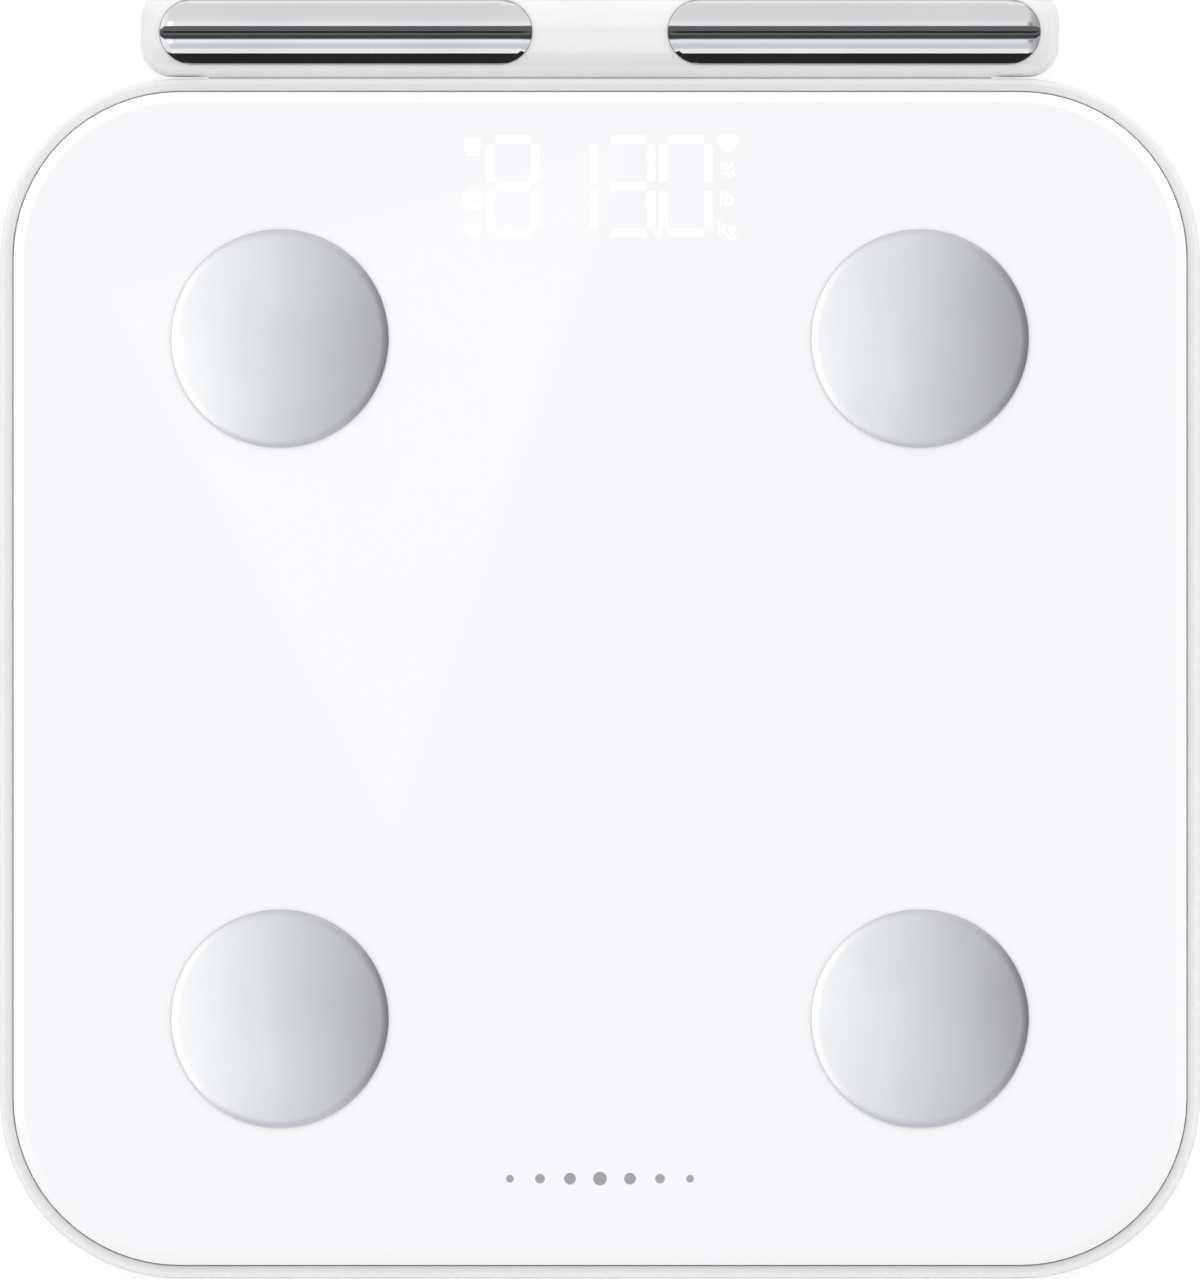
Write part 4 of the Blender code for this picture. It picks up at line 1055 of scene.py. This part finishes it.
def screw(head_radius, head_height, shank_radius, long):
    """A pan-head screw, head down, with a cross recess, its head's underside at zero height."""
    r, h, s = head_radius, head_height, shank_radius
    profile = [(0, -h), (r * 0.62, -h), (r * 0.88, -h * 0.86), (r, -h * 0.45), (r, 0), (s, 0)]
    pitch, z = 1.0, 0.5
    while z + pitch < long - 1:
        profile += [(s, z), (s * 0.8, z + pitch / 2)]
        z += pitch
    profile += [(s, z), (s * 0.35, long - 0.2), (0, long)]
    made = turned(profile, 24)
    for wide, deep in ((r * 1.15, r * 0.26), (r * 0.26, r * 1.15)):
        slot = block((-wide / 2, -deep / 2, -h - 0.4), (wide / 2, deep / 2, -h + h * 0.55))
        combine(made, slot)
    return made


class SCALE_OT_screws(bpy.types.Operator):
    """Model the screws of the rim and of the hand bar"""

    bl_idname = "scale.screws"
    bl_label = "Screws"

    def execute(self, context):
        in_tray = [(x, y, 8.1 * MM) for x, y in rim_screws()]
        in_bar = [(x * MM, BAR.y, BAR.z - 6.8 * MM) for x in BAR_SCREWS_X]
        for name, body, model, places in (
            ("rim_screw", "base", screw(2.8, 1.7, 1.3, 7.4), in_tray),
            ("bar_screw", "hand_bar", screw(2.3, 1.5, 1.1, 11.0), in_bar),
        ):
            for index, where in enumerate(places, start=1):
                made = copy_of(model, where)
                finish(made, f"{name}_{index}", body, ["zinc_plate"])
            bpy.data.objects.remove(model)
        return {"FINISHED"}


# ---------------------------------------------------------------- the hand bar


def pads(level):
    """The middle, length and width of the left and right pads on one face of the bar."""
    for name in ("left", "right"):
        low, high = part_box(f"hand_electrode_{level}_{name}")
        yield name, (low.x + high.x) / 2, high.x - low.x, high.y - low.y


class SCALE_OT_hand_bar(bpy.types.Operator):
    """Model the hand bar's two casings, with the pockets for its electrodes"""

    bl_idname = "scale.hand_bar"
    bl_label = "Hand bar"

    def execute(self, context):
        b = settings().bar
        # How far a pocket's cutter reaches out of the casing, and the seam all round a pad
        over, seam = 1.5 * MM, 0.24 * MM
        z = BAR.z / MM
        pocket_depth = b.pad_thickness - b.pad_proud + 0.1 * MM
        bore = [(0, z - 12), (2.6, z - 12), (2.6, z - 6.6), (1.4, z - 6.6), (1.4, z), (0, z)]
        for level, side in (("upper", 1), ("lower", -1)):
            shell = bar_skin(0, b.wall, side)
            for _, x, long, wide in pads(level):
                pocket = bar_skin(over, over + pocket_depth, side)
                combine(pocket, pad_outline(x, long + seam, wide + seam, side), "INTERSECT")
                combine(shell, pocket)
            if side < 0:
                screws = [(x * MM, BAR.y) for x in BAR_SCREWS_X]
                for centre in screws:
                    combine(shell, rod(3.4, z - 8.6, z - 0.6, centre), "UNION")
                holes = [turned(bore, 24, centre) for centre in screws]
                combine(shell, join([*holes, rod(4.2, z - 12, z - 6, BAR, 32)]))
            name, node = f"bar_{level}_casing", f"handle_{level}_shell"
            finish(shell, name, "hand_bar", ["gloss_abs"], node, angle=30)
        return {"FINISHED"}


class SCALE_OT_hand_electrodes(bpy.types.Operator):
    """Model the hand bar's four chrome grips"""

    bl_idname = "scale.hand_electrodes"
    bl_label = "Hand electrodes"

    def execute(self, context):
        b = settings().bar
        for level, side in (("upper", 1), ("lower", -1)):
            for name, x, long, wide in pads(level):
                pad = bar_skin(b.pad_proud, b.pad_thickness, side)
                combine(pad, pad_outline(x, long, wide, side), "INTERSECT")
                name, node = f"grip_{level}_{name}", f"hand_electrode_{level}_{name}"
                edge = 0.12 * MM
                finish(pad, name, "hand_bar", ["chrome_plate"], node, edge, angle=20)
        return {"FINISHED"}


class SCALE_OT_cord(bpy.types.Operator):
    """Model the cord up into the bar, its gland and its boot"""

    bl_idname = "scale.cord"
    bl_label = "Cord and boots"

    def execute(self, context):
        low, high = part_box("cord_riser")
        radius = (high.x - low.x) / 2 / MM
        start, end = low.z / MM - 0.6, high.z / MM + 0.6
        rings = 40
        profile = [(0, start)]
        profile += [(radius, start + (end - start) * ring / rings) for ring in range(rings + 1)]
        profile.append((0, end))
        cord = turned(profile, 24, (0, BAR.y))
        cord = finish(cord, "cord_rise", None, ["cord_pvc"], "cord_riser")
        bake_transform(cord)
        profile = [(1.35, 8.6), (3.8, 8.6), (3.9, 8.8), (3.8, 9.1), (3.2, 9.35), (2.0, 9.3), (1.35, 9.0)]
        gland = turned(profile, 40, (0, BAR.y), ring=True)
        finish(gland, "gland", "base", ["nitrile_rubber"], "cord_gland")
        z = BAR.z / MM
        profile = [(1.3, z - 6.5), (5.0, z - 6.5), (5.2, z - 6.2), (5.2, z - 5.5), (3.2, z - 5.1)]
        profile += [(2.9, z - 4.2), (3.1, z - 4.0), (2.6, z - 3.2), (2.2, z - 2.4), (1.3, z - 2.4)]
        boot = turned(profile, 40, (0, BAR.y), ring=True)
        finish(boot, "boot", "hand_bar", ["nitrile_rubber"], "handle_cord_boot")
        return {"FINISHED"}


# ---------------------------------------------------------------- display and mark

# Lit strokes of each digit: top, middle, bottom, upper and lower left, upper and lower right
STROKES = {
    "0": "t b ul ll ur lr",
    "1": "ur lr",
    "3": "t m b ur lr",
    "8": "t m b ul ll ur lr",
}


# The heights in millimetres between which lit and printed pieces lie on the glass
FILM = (GLASS_HIGH.z / MM + 0.005, GLASS_HIGH.z / MM + 0.03)


def flat_bar(x, y, wide, tall, rounding=0.45):
    """A thin lit or printed bar on the glass, with rounded corners, centred at x, y in millimetres."""
    low, high = (x - wide / 2, y - tall / 2, FILM[0]), (x + wide / 2, y + tall / 2, FILM[1])
    return block(low, high, min(rounding, wide * 0.45, tall * 0.45), upright_only=True)


def flat_disc(x, y, radius, inner=0.0, sides=32):
    """A thin lit or printed disc or ring on the glass."""
    low, high = FILM
    profile = [(inner, low), (radius, low), (radius, high), (inner, high)]
    return turned(profile, sides, (x * MM, y * MM), ring=inner > 0)


def flat_text(body, x, y, size):
    """Small unit letters, as a thin mesh on the glass."""
    begin()
    half_thick = 0.012 * MM
    bpy.ops.object.text_add(location=(x * MM, y * MM, FILM[0] * MM + half_thick))
    text = bpy.context.object.data
    text.body, text.size = body, size * MM
    text.align_x, text.align_y = "CENTER", "CENTER"
    text.extrude, text.resolution_u = half_thick, 4
    bpy.ops.object.convert(target="MESH")
    return place(bpy.context.object)


def heart(x, y, size):
    """A small heart: two lobes over a point."""
    only(flat_bar(x, y, size * 0.62, size * 0.62, rounding=0.1))
    go("EDIT")
    bpy.ops.mesh.select_all(action="SELECT")
    centre = (x * MM, y * MM, GLASS_HIGH.z)
    bpy.ops.transform.rotate(value=PI / 4, orient_axis="Z", center_override=centre)
    body = shape()
    for side in (-1, 1):
        lobe = flat_disc(x + side * size * 0.22, y + size * 0.22, size * 0.31)
        combine(body, lobe, "UNION")
    return body


class SCALE_OT_display(bpy.types.Operator):
    """Model the lit digits and signs of the display"""

    bl_idname = "scale.display"
    bl_label = "Display"

    def execute(self, context):
        d = settings().display
        wide, tall, stroke = d.digit_width / MM, d.digit_height / MM, d.stroke / MM
        low, high = (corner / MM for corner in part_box("display_diffuser"))
        y = (low.y + high.y) / 2
        pitch, first = 14.4, -21.7  # between digits, and the first one's middle
        long, upright = wide - 1.3 * stroke, tall / 2 - 1.2 * stroke
        places = {
            "t": (0, tall / 2, long, stroke),
            "m": (0, 0, long, stroke),
            "b": (0, -tall / 2, long, stroke),
            "ul": (-wide / 2, tall / 4, stroke, upright),
            "ll": (-wide / 2, -tall / 4, stroke, upright),
            "ur": (wide / 2, tall / 4, stroke, upright),
            "lr": (wide / 2, -tall / 4, stroke, upright),
        }
        lit = lit_sign()
        bars = []
        for index, digit in enumerate(d.reading):
            for key in STROKES[digit].split():
                dx, dy, across, up = places[key]
                bars.append(flat_bar(first + index * pitch + dx, y + dy, across, up, 0.5))
        point_x, point_radius = first + 2.5 * pitch + 0.3, 1.0
        bars.append(flat_disc(point_x, y - tall / 2, point_radius))
        finish(join(bars), "lit_digits", "base", [lit])
        left, right, weight_y = -31.8, 31.6, y + 9.9
        only(flat_bar(left, weight_y, 4.6, 4.4, 0.4))
        go("EDIT")
        pick("verts", lambda vert: vert.co.y < weight_y * MM)
        bpy.ops.transform.resize(value=(0.72, 1, 1), center_override=(left * MM, 0, 0))
        signs = [
            shape(),
            flat_disc(left, y - 3.4, 2.6, inner=1.5),
            flat_disc(left, y - 3.4, 0.6),
            heart(left, y - 11.5, 4.2),
            heart(right + 0.4, y + 10.4, 5.2),
            flat_text("%", right + 0.2, y + 3.8, 5.6),
            flat_text("lb", right, y - 3.2, 5.4),
            flat_text("kg", right + 0.2, y - 10.6, 5.4),
        ]
        finish(join(signs), "lit_signs", "base", [lit])
        return {"FINISHED"}


class SCALE_OT_mark(bpy.types.Operator):
    """Print a generic mark near the front edge"""

    bl_idname = "scale.mark"
    bl_label = "Mark"

    def execute(self, context):
        y, pitch = PLATFORM.y / MM - 125, 7.5
        dots = [flat_disc(index * pitch, y, 1.7 - 0.25 * abs(index)) for index in range(-3, 4)]
        finish(join(dots), "generic_mark", "base", ["grey_ink"])
        return {"FINISHED"}


# ---------------------------------------------------------------- what is inside

# The working parts inside, listed by their finish
INSIDE = {
    "satin_abs": ["display_housing"],
    "opal_acrylic": ["display_diffuser"],
    "green_board": ["display_board", "main_board", "brush_board", "slip_ring_disc", "handle_board"],
    "black_abs": ["unit_switch"],
    "grey_abs": ["cord_reel", "reel_housing"],
    "cord_pvc": ["wiring_loom", "cord_winding", "cord_lead"],
    "spring_steel": ["reel_spring", "reel_axle", *("load_cell_" + corner for corner in CORNERS)],
    "brass": ["electrode_nut_" + corner for corner in CORNERS],
    "foam": ["glass_tape"],
    "nickel_plate": [
        f"{part}_{side}" for part in ("battery_contacts", "dock_magnet") for side in ("left", "right")
    ],
    "zinc_plate": ["handle_keeper_left", "handle_keeper_right"],
}


class SCALE_OT_inside(bpy.types.Operator):
    """Finish the working parts inside, which keep their CAD shapes"""

    bl_idname = "scale.inside"
    bl_label = "Working parts"

    def execute(self, context):
        parts = [(name, node) for name, nodes in INSIDE.items() for node in nodes]
        for name, node in parts:
            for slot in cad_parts[node].material_slots:
                slot.link = "OBJECT"
                slot.material = material(name)
        return {"FINISHED"}


OPERATORS = [
    SCALE_OT_stage,
    SCALE_OT_glass,
    SCALE_OT_rim,
    SCALE_OT_tray,
    SCALE_OT_foot_electrodes,
    SCALE_OT_feet,
    SCALE_OT_battery_door,
    SCALE_OT_cells,
    SCALE_OT_unit_button,
    SCALE_OT_screws,
    SCALE_OT_hand_bar,
    SCALE_OT_hand_electrodes,
    SCALE_OT_cord,
    SCALE_OT_display,
    SCALE_OT_mark,
    SCALE_OT_inside,
]


class SCALE_PT_panel(bpy.types.Panel):
    """Lists the scale's settings and its pieces"""

    bl_idname = "SCALE_PT_panel"
    bl_label = "Bathroom scale"
    bl_space_type = "VIEW_3D"
    bl_region_type = "UI"
    bl_category = "Scale"

    def draw(self, context):
        groups = context.scene.bathroom_scale
        for group in (groups.platform, groups.bar, groups.display, groups.colours, groups.stage):
            box = self.layout.box()
            for name in group.__annotations__:
                box.prop(group, name)
        for operator in OPERATORS:
            self.layout.operator(operator.bl_idname)


CLASSES = [
    ScalePlatformSettings,
    ScaleBarSettings,
    ScaleDisplaySettings,
    ScaleColourSettings,
    ScaleStageSettings,
    BathroomScaleSettings,
    *OPERATORS,
    SCALE_PT_panel,
]


def register():
    for kind in CLASSES:
        bpy.utils.register_class(kind)
    bpy.types.Scene.bathroom_scale = bpy.props.PointerProperty(type=BathroomScaleSettings)


def unregister():
    del bpy.types.Scene.bathroom_scale
    for kind in reversed(CLASSES):
        bpy.utils.unregister_class(kind)


def main():
    register()
    for operator in OPERATORS:
        group, name = operator.bl_idname.split(".")
        getattr(getattr(bpy.ops, group), name)()


if __name__ == "__main__":
    main()
